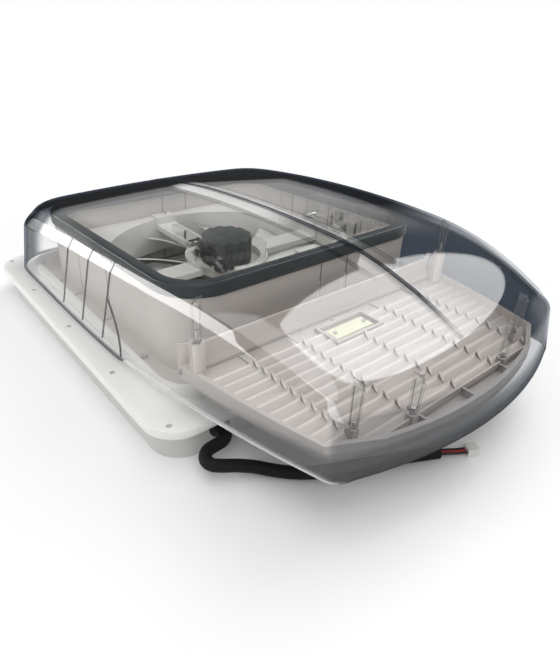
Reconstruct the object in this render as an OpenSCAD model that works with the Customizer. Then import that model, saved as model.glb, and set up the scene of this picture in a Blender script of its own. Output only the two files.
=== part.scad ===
// Powered roof vent with a long clear rain lid. Millimetres, Z up, nose of the lid towards -Y.

/* [Roof flange] */
// Distance from the duct box to the edge of the square roof flange
flange_reach = 51; // [46:1:60]
// Corner radius of the flange
flange_corner = 32; // [26:1:40]
// Thickness of the flange
flange_t = 8; // [6:0.5:10]
// Radius of the rounded upper edge of the flange
flange_edge = 4; // [2:0.5:5]
// Diameter of the screw holes
hole_d = 5; // [4:0.5:6]
// Distance from the flange edge to the side holes
hole_inset = 11; // [9:0.5:13]
// Distance from the flange edge to the corner holes
corner_hole_inset = 15; // [13:0.5:17]
// Distance from the duct box to the outer face of the raised collar
collar_reach = 21; // [20:1:24]
// Height of the raised collar
collar_h = 10; // [6:1:12]
// Distance from the duct box to the outer face of the neck in the roof opening
neck_reach = 17; // [15:1:18]

/* [Ceiling trim] */
// Distance from the edge of the flange to the ceiling trim
trim_inset = 10; // [8:1:14]
// Height of the ceiling trim
trim_h = 32; // [28:1:40]
// Corner radius of the ceiling trim
trim_corner = 30; // [24:1:36]
// Distance from the duct box to the edge of the insect screen
screen_inset = 9; // [7:1:14]
// Length of a screen turn button
button_l = 30; // [26:1:34]

/* [Duct box] */
// Distance from the fan blades to the outer face of the duct box
box_margin = 21; // [19:1:26]
// Corner radius of the duct box
box_corner = 45; // [38:1:52]
// Wall thickness of the duct box
wall = 3; // [2.5:0.5:4]
// Height of the rim seal top above the flange at the middle
rim_height = 86; // [80:1:90]
// Slope of the rim, higher at the front
rim_tilt = 3; // [1:0.5:4]
// Height of the rim seal
seal_h = 14; // [10:1:16]
// Width of the rim seal
seal_w = 12; // [9:1:14]

/* [Fan] */
// Diameter of the fan blades
fan_d = 276; // [230:1:310]
// Pitch of the fan blades at their tips
blade_pitch = 22; // [18:1:24]
// Diameter of the motor cap
cap_d = 60; // [56:1:64]
// Height of the motor cap
cap_h = 20; // [16:1:24]
// Diameter of the fan motor
motor_d = 48; // [44:1:50]
// Height of the fan motor
motor_h = 32; // [28:1:33]
// Diameter of the fan shaft
fan_shaft_d = 6; // [5:0.5:8]

/* [Lid] */
// Distance from the edge of the flange to the nose of the lid
lid_overhang = 152; // [140:1:165]
// Distance from the duct box to the sides of the lid at the rear
lid_side = 34; // [31:0.5:37]
// Narrowing of each side towards the nose
lid_taper = 45; // [30:1:50]
// Distance from the duct box to the rear of the lid
lid_behind = 31; // [29:0.5:35]
// Rear corner radius of the lid
lid_corner = 45; // [36:1:54]
// Forward bow of the nose
nose_bow = 24; // [16:1:30]
// Height of the lid edge over the flange at its peak
lid_peak = 105; // [102:1:112]
// Drop of the lid from the peak to the rear
lid_rear_drop = 30; // [24:1:31]
// Drop of the lid from the peak to the nose
lid_nose_drop = 57; // [50:1:60]
// Rise of the middle of the lid over its edges
lid_crown = 6; // [4:0.5:9]
// Thickness of the lid
lid_t = 2.5; // [2:0.25:3]
// Opening angle of the lid
lid_open = 12; // [8:1:13]

/* [Louvre plate] */
// Height of the top of the louvre plate over the flange
plate_top = 38; // [36:1:40]
// Depth of the louvre plate
plate_h = 14; // [12:1:16]
// Distance between the louvre slats
slat_step = 12; // [11:0.5:13]
// Tilt of the louvre slats
slat_tilt = 26; // [20:1:30]

/* [Lift] */
// Diameter of the lift shaft
lift_shaft_d = 8; // [6:0.5:9]
// Diameter of the pins at the arm tips
pin_d = 6; // [5:0.5:7]
// Turn of the arms over the full travel of the lid
lift_turn = 54; // [50:1:56]

/* [Harness] */
// Diameter of the harness sleeve
sleeve_d = 11; // [9:0.5:12]

/* [Fits] */
// Radial clearance of turning fits
run_fit = 0.05; // [0.03:0.01:0.1]
// Gap between moving pieces
gap = 0.5; // [0.4:0.05:0.8]

/* [Hidden] */
$fn = 64;
far = 1000;
box_w = fan_d + 2 * box_margin;
flange_w = box_w + 2 * flange_reach;
collar_w = box_w + 2 * collar_reach;
neck_w = box_w + 2 * neck_reach;
trim_w = flange_w - 2 * trim_inset;
screen_opening = box_w - 2 * screen_inset;
hole_step = box_w / 2 - 58;
lid_half_w = box_w / 2 + lid_side;
lid_rear = box_w / 2 + lid_behind;
lid_reach = flange_w / 2 + lid_overhang;
base_y = (lid_reach - flange_w / 2) / 2;
flange_top = trim_h + flange_t;
collar_top = flange_top + collar_h;
trim_floor = 3;
trim_floor_t = 3;
trim_wall = 3;
neck_bottom = 14;
neck_corner = 34;
collar_corner = 38;
boss_d = 12;
box_in = box_w - 2 * wall;
box_bottom = 12;
box_foot_t = 3;
box_foot_w = collar_w - 14;
shelf_top = flange_top + 35;
shelf_t = 3;
deck_t = 3;
deck_top = shelf_top + deck_t;
tube_d = fan_d + 8;
tube_h = 43;
arm_t = 7;
arm_w = 28;
arm_aside = 4;
arm_top = deck_top - 7;
arm_z = arm_top - arm_t;
tab_t = 3;
tab_l = 12;
leg_t = 5;
leg_gap = 0.5;
cup_floor = flange_top + 22;
cup_floor_t = 3;
cup_top = deck_top - 3;
cup_in = motor_d + 34;
cup_wall = 4;
cup_rim = 9;
cup_rim_t = 4;
motor_bottom = cup_floor + cup_floor_t;
hub_d = 66;
hub_top = cup_floor - 4;
hub_h = 20;
hub_bottom = hub_top - hub_h;
hub_wall = 3;

// Fan blade: a thin cambered section, turned, widened and swept back from the hub to the tip.
blade_n = 10;
blade_steps = 7;
blade_sides = 8;
blade_t = 2.4;
blade_camber = 2.4;
blade_root_chord = 28;
blade_widening = 36;
blade_twist = 14;
blade_sweep = 12;
blade_turn = 11;
blade_z = (hub_top + hub_bottom) / 2;
blade_start = hub_d / 2 - hub_wall / 2;
function blade_ring(s) = let (
        r = blade_start + s * (fan_d / 2 - blade_start),
        pitch = blade_pitch + blade_twist * (1 - s),
        chord = blade_root_chord + blade_widening * sin(108 * s))
    [for (k = [0:blade_sides - 1]) let (
            a = 360 * k / blade_sides,
            c = chord / 2 * cos(a),
            h = blade_t / 2 * sin(a) * (1 - 0.4 * s) + blade_camber * (pow(sin(a), 2) - 0.5),
            turn = blade_sweep * s * s + (c * cos(pitch) - h * sin(pitch)) / r * 180 / PI)
        [r * cos(turn), r * sin(turn), blade_z + c * sin(pitch) + h * cos(pitch)]];
blade_points = [for (i = [0:blade_steps]) each blade_ring(i / blade_steps)];
blade_faces = concat(
    [for (i = [0:blade_steps - 1]) for (k = [0:blade_sides - 1])
        let (m = (k + 1) % blade_sides, a = i * blade_sides, b = a + blade_sides)
        each [[a + k, b + m, a + m], [a + k, b + k, b + m]]],
    [for (k = [1:blade_sides - 2]) [0, k, k + 1]],
    [for (k = [1:blade_sides - 2]) let (b = blade_steps * blade_sides) [b, b + k + 1, b + k]]);
rim_top = flange_top + rim_height;
seal_grip = 8;

// Lid surface over the flange middle: the height of its edge at y and of its skin at x, y.
peak_y = 14 - box_w / 2;
lid_l = lid_reach + lid_rear;
lid_mid = (lid_rear - lid_reach) / 2;
taper_from = box_w / 2 - 59;
skirt_end = 64 - box_w / 2;
lip_gap = 6;
lip_rise = 15;
corner_y = nose_bow - lid_reach;
function lid_edge(y) = flange_top + lid_peak - (y > peak_y
    ? lid_rear_drop * pow((y - peak_y) / (lid_rear - peak_y), 2)
    : lid_nose_drop * pow((peak_y - y) / (peak_y + lid_reach), 2.5));
function half_w(y) = y > taper_from
    ? lid_half_w
    : lid_half_w - lid_taper * pow((taper_from - y) / (taper_from - corner_y), 3);
function ridge(x) = 2 * exp(-pow(x / 11, 4));
function lid_skin(x, y) = lid_edge(y) + lid_crown * (1 - pow(x / lid_half_w, 2)) + ridge(x);
function bevel_share(x, y) = max(0, min(1,
    (bevel_in - lid_half_w * (1 - x / half_w(y))) / (bevel_in - wall_draft)));
function lid_under(x, y) = lid_skin(x, y) - bevel_share(x, y) * bevel_drop(y) - lid_t;
function lid_lip(y) = flange_top + lip_gap + (y > skirt_end
    ? 0
    : lip_rise * pow((skirt_end - y) / (skirt_end + lid_reach), 0.6));

// Half of the lid outline from the middle of the rear edge to the middle of the nose.
rear_steps = 4;
corner_steps = 8;
side_steps = 13;
nose_steps = 7;
nose_corner = 16;
side_end = corner_y + nose_corner;
nose_half = half_w(corner_y) - nose_corner;
half_outline = concat(
    [for (i = [0:rear_steps - 1]) [(lid_half_w - lid_corner) * i / rear_steps, lid_rear]],
    [for (i = [0:corner_steps]) [lid_half_w - lid_corner + lid_corner * sin(90 * i / corner_steps),
        lid_rear - lid_corner + lid_corner * cos(90 * i / corner_steps)]],
    [for (i = [1:side_steps])
        let (y = lid_rear - lid_corner + (side_end - lid_rear + lid_corner) * i / side_steps)
        [half_w(y), y]],
    [for (i = [1:3]) [half_w(corner_y) - nose_corner + nose_corner * cos(30 * i) * 0.98,
        side_end - nose_corner * sin(30 * i)]],
    [for (i = [1:nose_steps]) let (x = nose_half * (1 - i / nose_steps))
        [x, corner_y - nose_bow * (1 - pow(x / nose_half, 2))]]);
outline_half_n = len(half_outline);
outline = concat(half_outline,
    [for (i = [outline_half_n - 2:-1:1]) [-half_outline[i][0], half_outline[i][1]]]);
outline_n = len(outline);

// Rings of the lid: walls, bevelled shoulder and skin, each drawn in towards the middle of the lid.
wall_draft = 7;
bevel_in = 24;
skin_steps = 9;
function drawn_in(p, d) = [p[0] * (1 - d / lid_half_w), lid_mid + (p[1] - lid_mid) * (1 - d / (lid_l / 2))];
function bevel_drop(y) = min(16, 0.3 * (lid_edge(y) - lid_lip(y)));
function shoulder_z(p) = let (q = drawn_in(p, bevel_in)) lid_skin(q[0], q[1]);
function lid_ring(k, t) = [for (p = outline) let (
        d = k == 0 ? 0 : k == 1 ? wall_draft : bevel_in + (lid_half_w - bevel_in) * (k - 2) / skin_steps,
        q = drawn_in(p, min(d + t * (k < 2 ? 1 : max(0, 1 - (k - 2) / 3)), lid_half_w)),
        z = k == 0 ? lid_lip(p[1])
            : k == 1 ? shoulder_z(p) - bevel_drop(p[1]) - 0.5 * t
            : lid_skin(q[0], q[1]) - t)
    [q[0], q[1], z]];
ring_n = skin_steps + 2;
lid_points = concat(
    [for (k = [0:ring_n - 1]) each lid_ring(k, 0)],
    [for (k = [0:ring_n - 1]) each lid_ring(k, lid_t)],
    [[0, lid_mid, lid_skin(0, lid_mid)], [0, lid_mid, lid_skin(0, lid_mid) - lid_t]]);
inner_at = ring_n * outline_n;
function quad(a, b, c, d) = [[a, b, c], [a, c, d]];
lid_faces = concat(
    [for (k = [0:ring_n - 2]) for (i = [0:outline_n - 1]) let (j = (i + 1) % outline_n)
        each quad(k * outline_n + i, k * outline_n + j, (k + 1) * outline_n + j, (k + 1) * outline_n + i)],
    [for (k = [0:ring_n - 2]) for (i = [0:outline_n - 1]) let (j = (i + 1) % outline_n)
        each quad(inner_at + (k + 1) * outline_n + i, inner_at + (k + 1) * outline_n + j,
            inner_at + k * outline_n + j, inner_at + k * outline_n + i)],
    [for (i = [0:outline_n - 1]) let (j = (i + 1) % outline_n)
        each quad(inner_at + i, inner_at + j, j, i)],
    [for (i = [0:outline_n - 1]) let (j = (i + 1) % outline_n, last = (ring_n - 1) * outline_n)
        [last + i, last + j, 2 * inner_at]],
    [for (i = [0:outline_n - 1]) let (j = (i + 1) % outline_n, last = inner_at + (ring_n - 1) * outline_n)
        [last + j, last + i, 2 * inner_at + 1]]);

// Depth that moulded posts and brackets run into the lid.
sink = 0.8;

// Hinge of the lid, lift shaft and the path of the arm pins in the lid.
hinge_y = box_w / 2 + 13;
hinge_z = flange_top + 22;
hinge_pin_d = 6;
hinge_x = lid_half_w - 83;
knuckle_w = 20;
lug_t = 5;
lug_gap = gap;
lift_y = 28 - box_in / 2;
lift_z = flange_top + 70;
arm_start = 11.5;
track_fall = 7.1;
arm_reach = ((lift_z - hinge_z) * (1 - cos(lid_open)) + (hinge_y - lift_y) * sin(lid_open) - track_fall)
    / (sin(arm_start + lift_turn + lid_open) - sin(arm_start));
arm_x = 72;
arm_thick = 4;
track_x = arm_x + arm_thick + 4;
track_t = 6;
pin_path_n = 12;
function to_lid(p, a) = [hinge_y + (p[0] - hinge_y) * cos(a) - (p[1] - hinge_z) * sin(a),
    hinge_z + (p[0] - hinge_y) * sin(a) + (p[1] - hinge_z) * cos(a)];
function tip_at(s) = [lift_y + arm_reach * cos(arm_start + lift_turn * s),
    lift_z + arm_reach * sin(arm_start + lift_turn * s)];
pin_path = [for (i = [0:pin_path_n]) to_lid(tip_at(i / pin_path_n), lid_open * i / pin_path_n)];
slot_r = pin_d / 2 + gap;
pad_l = 64;
pad_w = 38;
pad_h = 13;
pad_corner = 12;
pad_groove = 4;
pad_groove_step = 8;
pad_x = track_x + track_t;
pad_z = lid_skin(pad_x, lift_y) - lid_t - pad_h;
pad_slope = atan(2 * lid_crown * pad_x / pow(lid_half_w, 2));
track_wall = 3;
track_end = 10.5;
track_front = pin_path[pin_path_n][0] - track_end;
track_rear = pin_path[0][0] + track_end;
track_l = track_rear - track_front;
function track_top(d) = lid_skin(track_x + 10, track_front + d) - lid_t + sink;
function path_dir(i) = let (a = pin_path[max(0, i - 1)], b = pin_path[min(pin_path_n, i + 1)], d = b - a)
    d / norm(d);
slot_edge = concat(
    [for (i = [0:pin_path_n]) pin_path[i] + slot_r * [-path_dir(i)[1], path_dir(i)[0]]],
    [for (i = [pin_path_n:-1:0]) pin_path[i] - slot_r * [-path_dir(i)[1], path_dir(i)[0]]]);

// Louvre plate inside the overhang of the lid.
plate_rear = -box_w / 2 - 17;
plate_z = flange_top + plate_top - plate_h;
plate_z_top = flange_top + plate_top;
plate_inset = 12;
plate_front = lid_reach - plate_inset;
rail_t = 4;
column_step = 57;
slat_first = plate_rear - 24;
slat_n = 1 + floor((lid_reach + slat_first - 42) / slat_step);
slat_t = 1.8;
slat_rise = slat_step * tan(slat_tilt);
floor_t = 2.5;
column_t = 2.4;
pocket_w = 58;
post_screw_d = 2.6;
slat_last = slat_first - slat_step * (slat_n - 1);
upstand_top = flange_top + 55;
boss_top = flange_top + 64;
rear_post = [lid_half_w - 31, plate_rear - 12];
inner_post = [64, 32 - lid_reach];
corner_post = [half_w(corner_y) - 36, 48 - lid_reach];
rear_post_d = 9;
nose_post_d = 7;
function under_slope(p, d) =
    (lid_under(p[0] + d[0], p[1] + d[1]) - lid_under(p[0] - d[0], p[1] - d[1])) / (2 * norm(d));
plate_side = [for (i = [0:8]) let (y = plate_rear + (corner_y + 22 - plate_rear) * i / 8)
    [half_w(y) - plate_inset, y]];
plate_nose_half = half_w(corner_y) - 26;
plate_nose = [for (i = [1:6]) let (x = plate_nose_half * (1 - i / 6))
    [x, -plate_front + (nose_bow - 4) * pow(x / plate_nose_half, 2)]];
plate_half = concat(plate_side, plate_nose);
plate_outline = concat(plate_half,
    [for (i = [len(plate_half) - 2:-1:0]) [-plate_half[i][0], plate_half[i][1]]]);
function inset_point(pts, i, d) = let (n = len(pts),
        a = unit(pts[i] - pts[(i + n - 1) % n]), b = unit(pts[(i + 1) % n] - pts[i]),
        u = [a[1], -a[0]], v = [b[1], -b[0]])
    pts[i] + d * (u + v) / (1 + u * v);
function inset(pts, d) = [for (i = [0:len(pts) - 1]) inset_point(pts, i, d)];
upstand_t = 3;
wing_from = lid_half_w - 43;
wing_to = lid_half_w - 24;
wing_back = 8;
upstand_outline = [[-wing_to, plate_rear + wing_back], [-wing_from, plate_rear - 0.5], [wing_from, plate_rear - 0.5],
    [wing_to, plate_rear + wing_back], [wing_to + 1, plate_rear + wing_back - upstand_t],
    [wing_from + 1, plate_rear - upstand_t - 0.5], [-wing_from - 1, plate_rear - upstand_t - 0.5],
    [-wing_to - 1, plate_rear + wing_back - upstand_t]];
sensor_y = plate_rear - 30;

// Harness: leaves the trim through a grommet, folds back and runs out under the nose.
grommet_x = 50 - trim_w / 2;
grommet_y = -trim_w / 2;
grommet_z = 20;
sleeve_r = sleeve_d / 2;
harness_points = [[0, 4, 20], [0, -6, 20], [-2, -13, 20.5], [-8, -18, 21], [-16, -19, 21],
    [-25, -20, 20.5], [-31, -26, 19.5], [-30, -33, 18.5], [-23, -38, 17], [-12, -43, 14.5], [0, -50, 11.5],
    [11, -59, 8.5], [22, -68, 6.4], [36, -79, 6], [52, -88, 6], [72, -97, 6], [92, -106, 6],
    [112, -115, 6], [130, -124, 6], [142, -130, 6]];
wire_points = [[142, -130, 6], [150, -134.5, 5.5], [158, -139, 4.8], [165, -142.5, 4.4]];
connector_at = [168, -144, 4.4];
connector_turn = -28;
tube_sides = 10;
function unit(v) = v / norm(v);
function path_tangent(pts, i) = unit(pts[min(len(pts) - 1, i + 1)] - pts[max(0, i - 1)]);
function ring_side(t) = unit(cross(t, [0, 0, 1]));
function tube_points(pts, r) = [for (i = [0:len(pts) - 1]) let (
        t = path_tangent(pts, i), s = ring_side(t), u = cross(s, t))
    for (k = [0:tube_sides - 1]) pts[i] + r * (cos(360 * k / tube_sides) * s + sin(360 * k / tube_sides) * u)];
function tube_faces(n) = concat(
    [for (i = [0:n - 2]) for (k = [0:tube_sides - 1]) let (m = (k + 1) % tube_sides)
        each quad(i * tube_sides + k, (i + 1) * tube_sides + k, (i + 1) * tube_sides + m, i * tube_sides + m)],
    [for (k = [1:tube_sides - 2]) [0, k, k + 1]],
    [for (k = [1:tube_sides - 2]) let (e = (n - 1) * tube_sides) [e, e + k + 1, e + k]]);

white = [0.92, 0.92, 0.90];
beige = [0.70, 0.67, 0.64];
black = [0.08, 0.09, 0.10];
smoke = [0.45, 0.47, 0.48, 0.4];
steel = [0.70, 0.71, 0.72];

module harness_place() {
    place() translate([grommet_x, grommet_y, 0]) children();
}

module place() {
    translate([0, base_y, 0]) children();
}

module round_rect(w, r) {
    square([w - 2 * r, w], center = true);
    square([w, w - 2 * r], center = true);
    for (x = [-1, 1]) for (y = [-1, 1]) translate([x * (w / 2 - r), y * (w / 2 - r)]) circle(r = r);
}

module slab(w, r, z0, z1) {
    translate([0, 0, z0]) linear_extrude(z1 - z0) round_rect(w, r);
}

module ring(w_out, r_out, w_in, r_in, z0, z1) {
    translate([0, 0, z0]) linear_extrude(z1 - z0) difference() {
        round_rect(w_out, r_out);
        round_rect(w_in, r_in);
    }
}

module rod(d, z0, z1) {
    translate([0, 0, z0]) cylinder(d = d, h = z1 - z0);
}

module rod_x(d, x0, x1, y, z) {
    translate([x0, y, z]) rotate([0, 90, 0]) cylinder(d = d, h = x1 - x0);
}

module side_plate(x0, x1) {
    translate([x0, 0, 0]) rotate([90, 0, 90]) linear_extrude(x1 - x0) children();
}

module flange_hole_places() {
    c = flange_w / 2 - corner_hole_inset;
    s = flange_w / 2 - hole_inset;
    for (x = [-c, c]) for (y = [-c, c]) translate([x, y]) children();
    for (m = [-hole_step, 0, hole_step]) for (e = [-s, s]) {
        translate([m, e]) children();
        translate([e, m]) children();
    }
}

module trim_screw_places() {
    e = neck_w / 2 - 4;
    for (x = [-e, e]) for (y = [-e, e]) translate([x, y]) children();
}

module box_screw_places() {
    for (m = [-1, 1] * (box_w / 2 - 59)) for (e = [-1, 1] * (box_w / 2 + 7)) {
        translate([m, e]) children();
        translate([e, m]) children();
    }
}

module roof_flange() color(white) place() difference() {
    union() {
        translate([0, 0, trim_h]) hull() for (x = [-1, 1]) for (y = [-1, 1])
            translate([x, y] * (flange_w / 2 - flange_corner)) {
                cylinder(r = flange_corner, h = flange_t - flange_edge, $fn = 48);
                cylinder(r = flange_corner - flange_edge * 0.3, h = flange_t - flange_edge * 0.3, $fn = 48);
                cylinder(r = flange_corner - flange_edge, h = flange_t, $fn = 48);
            }
        slab(collar_w, collar_corner, flange_top - 1, collar_top);
        slab(neck_w, neck_corner, neck_bottom, trim_h + 1);
        trim_screw_places() rod(boss_d, neck_bottom, trim_h + 1);
    }
    slab(box_foot_w + 2, collar_corner - 6, flange_top, collar_top + 1);
    slab(box_w + 4, box_corner + 2, neck_bottom - 1, flange_top + 1);
    translate([0, 0, trim_h - 1]) flange_hole_places() cylinder(d = hole_d, h = flange_t + 2);
    trim_screw_places() rod(3.4, neck_bottom - 1, neck_bottom + 14);
    box_screw_places() rod(3, flange_top - 7, flange_top + 1);
}

module roof_gasket() color(black) place() difference() {
    ring(trim_w - 2 * trim_wall - 2, trim_corner - trim_wall - 1, neck_w + 2, neck_corner + 1, trim_h - 4, trim_h);
    trim_screw_places() rod(boss_d + 2, trim_h - 5, trim_h + 1);
}

module ceiling_trim() color(white) place() difference() {
    union() {
        ring(trim_w, trim_corner, trim_w - 2 * trim_wall, trim_corner - trim_wall, 0, trim_h);
        slab(trim_w - 1, trim_corner - 0.5, trim_floor, trim_floor + trim_floor_t);
        slab(screen_opening + 6, 22, trim_floor, trim_floor + trim_floor_t + 3);
        ring(screen_opening + 6, 22, screen_opening + 1, 20, trim_floor, box_bottom - 1);
        trim_screw_places() rod(boss_d, trim_floor, neck_bottom);
        for (x = [-1, 1] * 38) translate([x, 13 - trim_w / 2]) rod(6, trim_floor, 11);
    }
    slab(screen_opening, 18, trim_floor - 1, trim_floor + trim_floor_t);
    slab(screen_opening - 18, 12, trim_floor - 1, 40);
    trim_screw_places() rod(4.5, trim_floor - 1, neck_bottom + 1);
    for (a = [0:90:270]) rotate(a) translate([0, -screen_opening / 2 - 9]) rod(4, trim_floor - 1, 8);
    translate([grommet_x, -trim_w / 2 - 1, grommet_z]) rotate([-90, 0, 0]) cylinder(d = sleeve_d + 5, h = 6);
}

module trim_screws() color(steel) place() trim_screw_places() {
    rod(8, 0.6, trim_floor);
    rod(3.4, trim_floor, neck_bottom + 13);
}

module screen_frame() color(white) place() ring(screen_opening - 1, 17.5, screen_opening - 24, 10,
    trim_floor, trim_floor + trim_floor_t);

module screen_mesh() color([0.2, 0.2, 0.2]) place() slab(screen_opening - 24, 10, trim_floor + 1, trim_floor + 1.6);

module screen_button(a) color(white) place() rotate(a) translate([0, -screen_opening / 2 - 9]) {
    rod(4 - 2 * run_fit, trim_floor - gap, trim_floor + trim_floor_t);
    translate([0, 0, trim_floor - gap - 2]) linear_extrude(2) {
        circle(d = 11);
        translate([-5.5, 0]) square([11, button_l - 10]);
        translate([0, button_l - 10]) circle(d = 11);
    }
}

module screen_button_front() screen_button(0);

module screen_button_right() screen_button(90);

module screen_button_rear() screen_button(180);

module screen_button_left() screen_button(270);

module keypad() color([0.25, 0.26, 0.28]) place() translate([-45, 10 - trim_w / 2, trim_floor - 1]) {
    cube([90, 16, 1]);
    for (i = [0:4]) translate([13 + i * 16, 8, -0.6]) cylinder(d = 10, h = 0.7);
}

module circuit_board() color([0.1, 0.35, 0.2]) place() translate([-50, 6 - trim_w / 2, 11]) {
    cube([100, 14, 1.6]);
    translate([8, 3, 1.5]) cube([14, 8, 7]);
    translate([34, 4, 1.5]) cube([10, 7, 2.5]);
    translate([62, 4, 1.5]) cube([8, 7, 2]);
    translate([82, 3, 1.5]) cube([12, 8, 6]);
}

module duct_box() color(beige) place() difference() {
    union() {
        slab(box_w, box_corner, box_bottom, flange_top + 105);
        slab(box_foot_w, collar_corner - 7, flange_top, flange_top + box_foot_t);
        for (x = [0, 38]) translate([x - 1.5, -box_w / 2 - 1.6, flange_top])
            cube([3, 3, rim_height - seal_h - 12]);
    }
    difference() {
        slab(box_in, box_corner - wall, box_bottom - 1, flange_top + 110);
        ring(box_in + 1, box_corner - wall, tube_d + 12, 30, shelf_top - shelf_t, shelf_top);
        for (y = [-84, -28, 28, 84]) translate([box_in / 2 - 2.5, y - 1.5, shelf_top - 1])
            cube([4, 3, flange_top + rim_height - shelf_top - seal_h - 4]);
    }
    translate([0, 0, rim_top - seal_h + seal_grip]) rotate([-rim_tilt, 0, 0])
        translate([-far, -far, 0]) cube([2 * far, 2 * far, 100]);
    box_screw_places() rod(3.4, flange_top - 1, flange_top + box_foot_t + 1);
}

module box_screws() color(steel) place() box_screw_places() {
    rod(6.5, flange_top + box_foot_t, flange_top + box_foot_t + 2.4);
    rod(3, flange_top - 6, flange_top + box_foot_t);
}

module rim_seal() color(black) place() difference() {
    translate([0, 0, rim_top - seal_h]) rotate([-rim_tilt, 0, 0]) linear_extrude(seal_h) difference() {
        round_rect(box_w + 5, box_corner + 2.5);
        round_rect(box_w + 5 - 2 * seal_w, box_corner + 2.5 - seal_w);
    }
    intersection() {
        ring(box_w, box_corner, box_in, box_corner - wall, flange_top, flange_top + 110);
        translate([0, 0, rim_top - seal_h + seal_grip]) rotate([-rim_tilt, 0, 0])
            translate([-far, -far, -far]) cube([2 * far, 2 * far, far]);
    }
}

module fan_shroud() color([0.80, 0.79, 0.77]) place() difference() {
    union() {
        slab(box_in - 1, box_corner - wall - 0.5, shelf_top, deck_top);
        rod(tube_d + 5, shelf_top - tube_h, deck_top);
    }
    rod(tube_d, shelf_top - tube_h - 1, deck_top + 1);
    for (y = [-84, -28, 28, 84]) translate([box_in / 2 - 3, y - 2, shelf_top - 1]) cube([5, 4, deck_t + 2]);
    spider_screw_places() rod(2.6, shelf_top - 1, deck_top + 1);
}

module spider_screw_places() {
    for (a = [0:90:270]) rotate(a) translate([0, tube_d / 2 + 5.5]) children();
}

module motor_spider() color([0.86, 0.85, 0.83]) place() difference() {
    union() {
        for (a = [0:90:270]) rotate(a) translate([-arm_aside - arm_w / 2, 0, 0]) {
            intersection() {
                union() {
                    translate([0, 0, arm_z]) cube([arm_w, tube_d / 2, arm_t]);
                    translate([0, tube_d / 2 - leg_t, arm_z]) cube([arm_w, leg_t, deck_top + tab_t - arm_z]);
                }
                translate([arm_aside + arm_w / 2, 0]) rod(tube_d - 2 * leg_gap, arm_z - 1, deck_top + tab_t + 1);
            }
            translate([0, tube_d / 2 - leg_t / 2, deck_top]) cube([arm_w, tab_l + leg_t / 2, tab_t]);
        }
        rod(cup_in + 2 * cup_wall, cup_floor, cup_top);
        rod(cup_in + 2 * cup_rim, cup_top - cup_rim_t, cup_top);
    }
    rod(cup_in, cup_floor + cup_floor_t, cup_top + 1);
    rod(14, cup_floor - 1, cup_top);
    spider_screw_places() rod(3.2, deck_top - 1, deck_top + tab_t + 1);
    for (a = [0:90:270]) rotate(a + 45) translate([motor_d / 2 - 8, 0]) rod(3.2, cup_floor - 1, cup_top);
}

module spider_screws() color(steel) place() {
    spider_screw_places() {
        rod(6, deck_top + tab_t, deck_top + tab_t + 2.2);
        rod(2.6, shelf_top + 0.4, deck_top + tab_t);
    }
    for (a = [0:90:270]) rotate(a + 45) translate([motor_d / 2 - 8, 0]) {
        rod(5.5, cup_floor - 2, cup_floor);
        rod(2.6, cup_floor, motor_bottom + 4);
    }
}

module fan_motor() color([0.55, 0.56, 0.57]) place() difference() {
    union() {
        rod(motor_d, motor_bottom, motor_bottom + motor_h);
        rod(13.6, cup_floor, motor_bottom + 1);
    }
    rod(fan_shaft_d + 2 * run_fit, cup_floor - 1, motor_bottom + 12);
    for (a = [0:90:270]) rotate(a + 45) translate([motor_d / 2 - 8, 0]) rod(2.6, motor_bottom - 1, motor_bottom + 5);
}

module motor_cap() color([0.28, 0.32, 0.31]) place() difference() {
    rod(cap_d, motor_bottom + motor_h + 2 - cap_h - 12, motor_bottom + motor_h + 2);
    rod(motor_d, motor_bottom - 5, motor_bottom + motor_h);
    for (a = [0:30:330]) rotate(a) translate([cap_d / 2 + 3.4, 0]) rod(10, cup_top - 4, motor_bottom + motor_h + 3);
}

module fan_shaft() color(steel) place() rod(fan_shaft_d, hub_bottom - 4, motor_bottom + 11);

module fan_rotor() color([0.85, 0.85, 0.84]) place() difference() {
    union() {
        difference() {
            rod(hub_d, hub_bottom, hub_top);
            rod(hub_d - 2 * hub_wall, hub_bottom - 1, hub_top - hub_wall);
        }
        rod(14, hub_bottom, hub_top);
        for (k = [0:blade_n - 1]) rotate(blade_turn + 360 * k / blade_n) polyhedron(blade_points, blade_faces);
    }
    rod(fan_shaft_d, hub_bottom - 1, hub_top + 1);
}

module fan_nut() color(steel) place() difference() {
    translate([0, 0, hub_bottom - 4]) cylinder(d = 12, h = 4, $fn = 6);
    rod(fan_shaft_d, hub_bottom - 5, hub_top);
}

module lift_gearbox() color([0.80, 0.79, 0.77]) place() difference() {
    union() {
        translate([4, -box_in / 2, lift_z - 10]) cube([30, box_in / 2 + lift_y + 12, 19]);
        translate([7, -box_in / 2 + 2, lift_z - 28]) cube([24, 24, 20]);
    }
    rod_x(lift_shaft_d + 2 * run_fit, 0, 40, lift_y, lift_z);
}

module shaft_bearings() color([0.80, 0.79, 0.77]) place() difference() {
    for (x = [-60, 54]) translate([x, -box_in / 2, lift_z - 8]) cube([6, box_in / 2 + lift_y + 8, 16]);
    rod_x(lift_shaft_d + 2 * run_fit, -80, 80, lift_y, lift_z);
}

module lift_shaft() color(steel) place() rod_x(lift_shaft_d, -arm_x - arm_thick - 2, arm_x + arm_thick + 2,
    lift_y, lift_z);

module lift_arm(x0) color([0.75, 0.74, 0.72]) place() difference() {
    side_plate(x0, x0 + arm_thick) {
        translate([lift_y, lift_z]) circle(d = 16);
        translate(tip_at(0)) circle(d = 11);
        translate([lift_y, lift_z]) rotate(arm_start) translate([0, -5]) square([arm_reach, 10]);
    }
    rod_x(lift_shaft_d, -100, 100, lift_y, lift_z);
    rod_x(pin_d, -100, 100, tip_at(0)[0], tip_at(0)[1]);
}

module lift_arm_left() lift_arm(-arm_x - arm_thick);

module lift_arm_right() lift_arm(arm_x);

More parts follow.
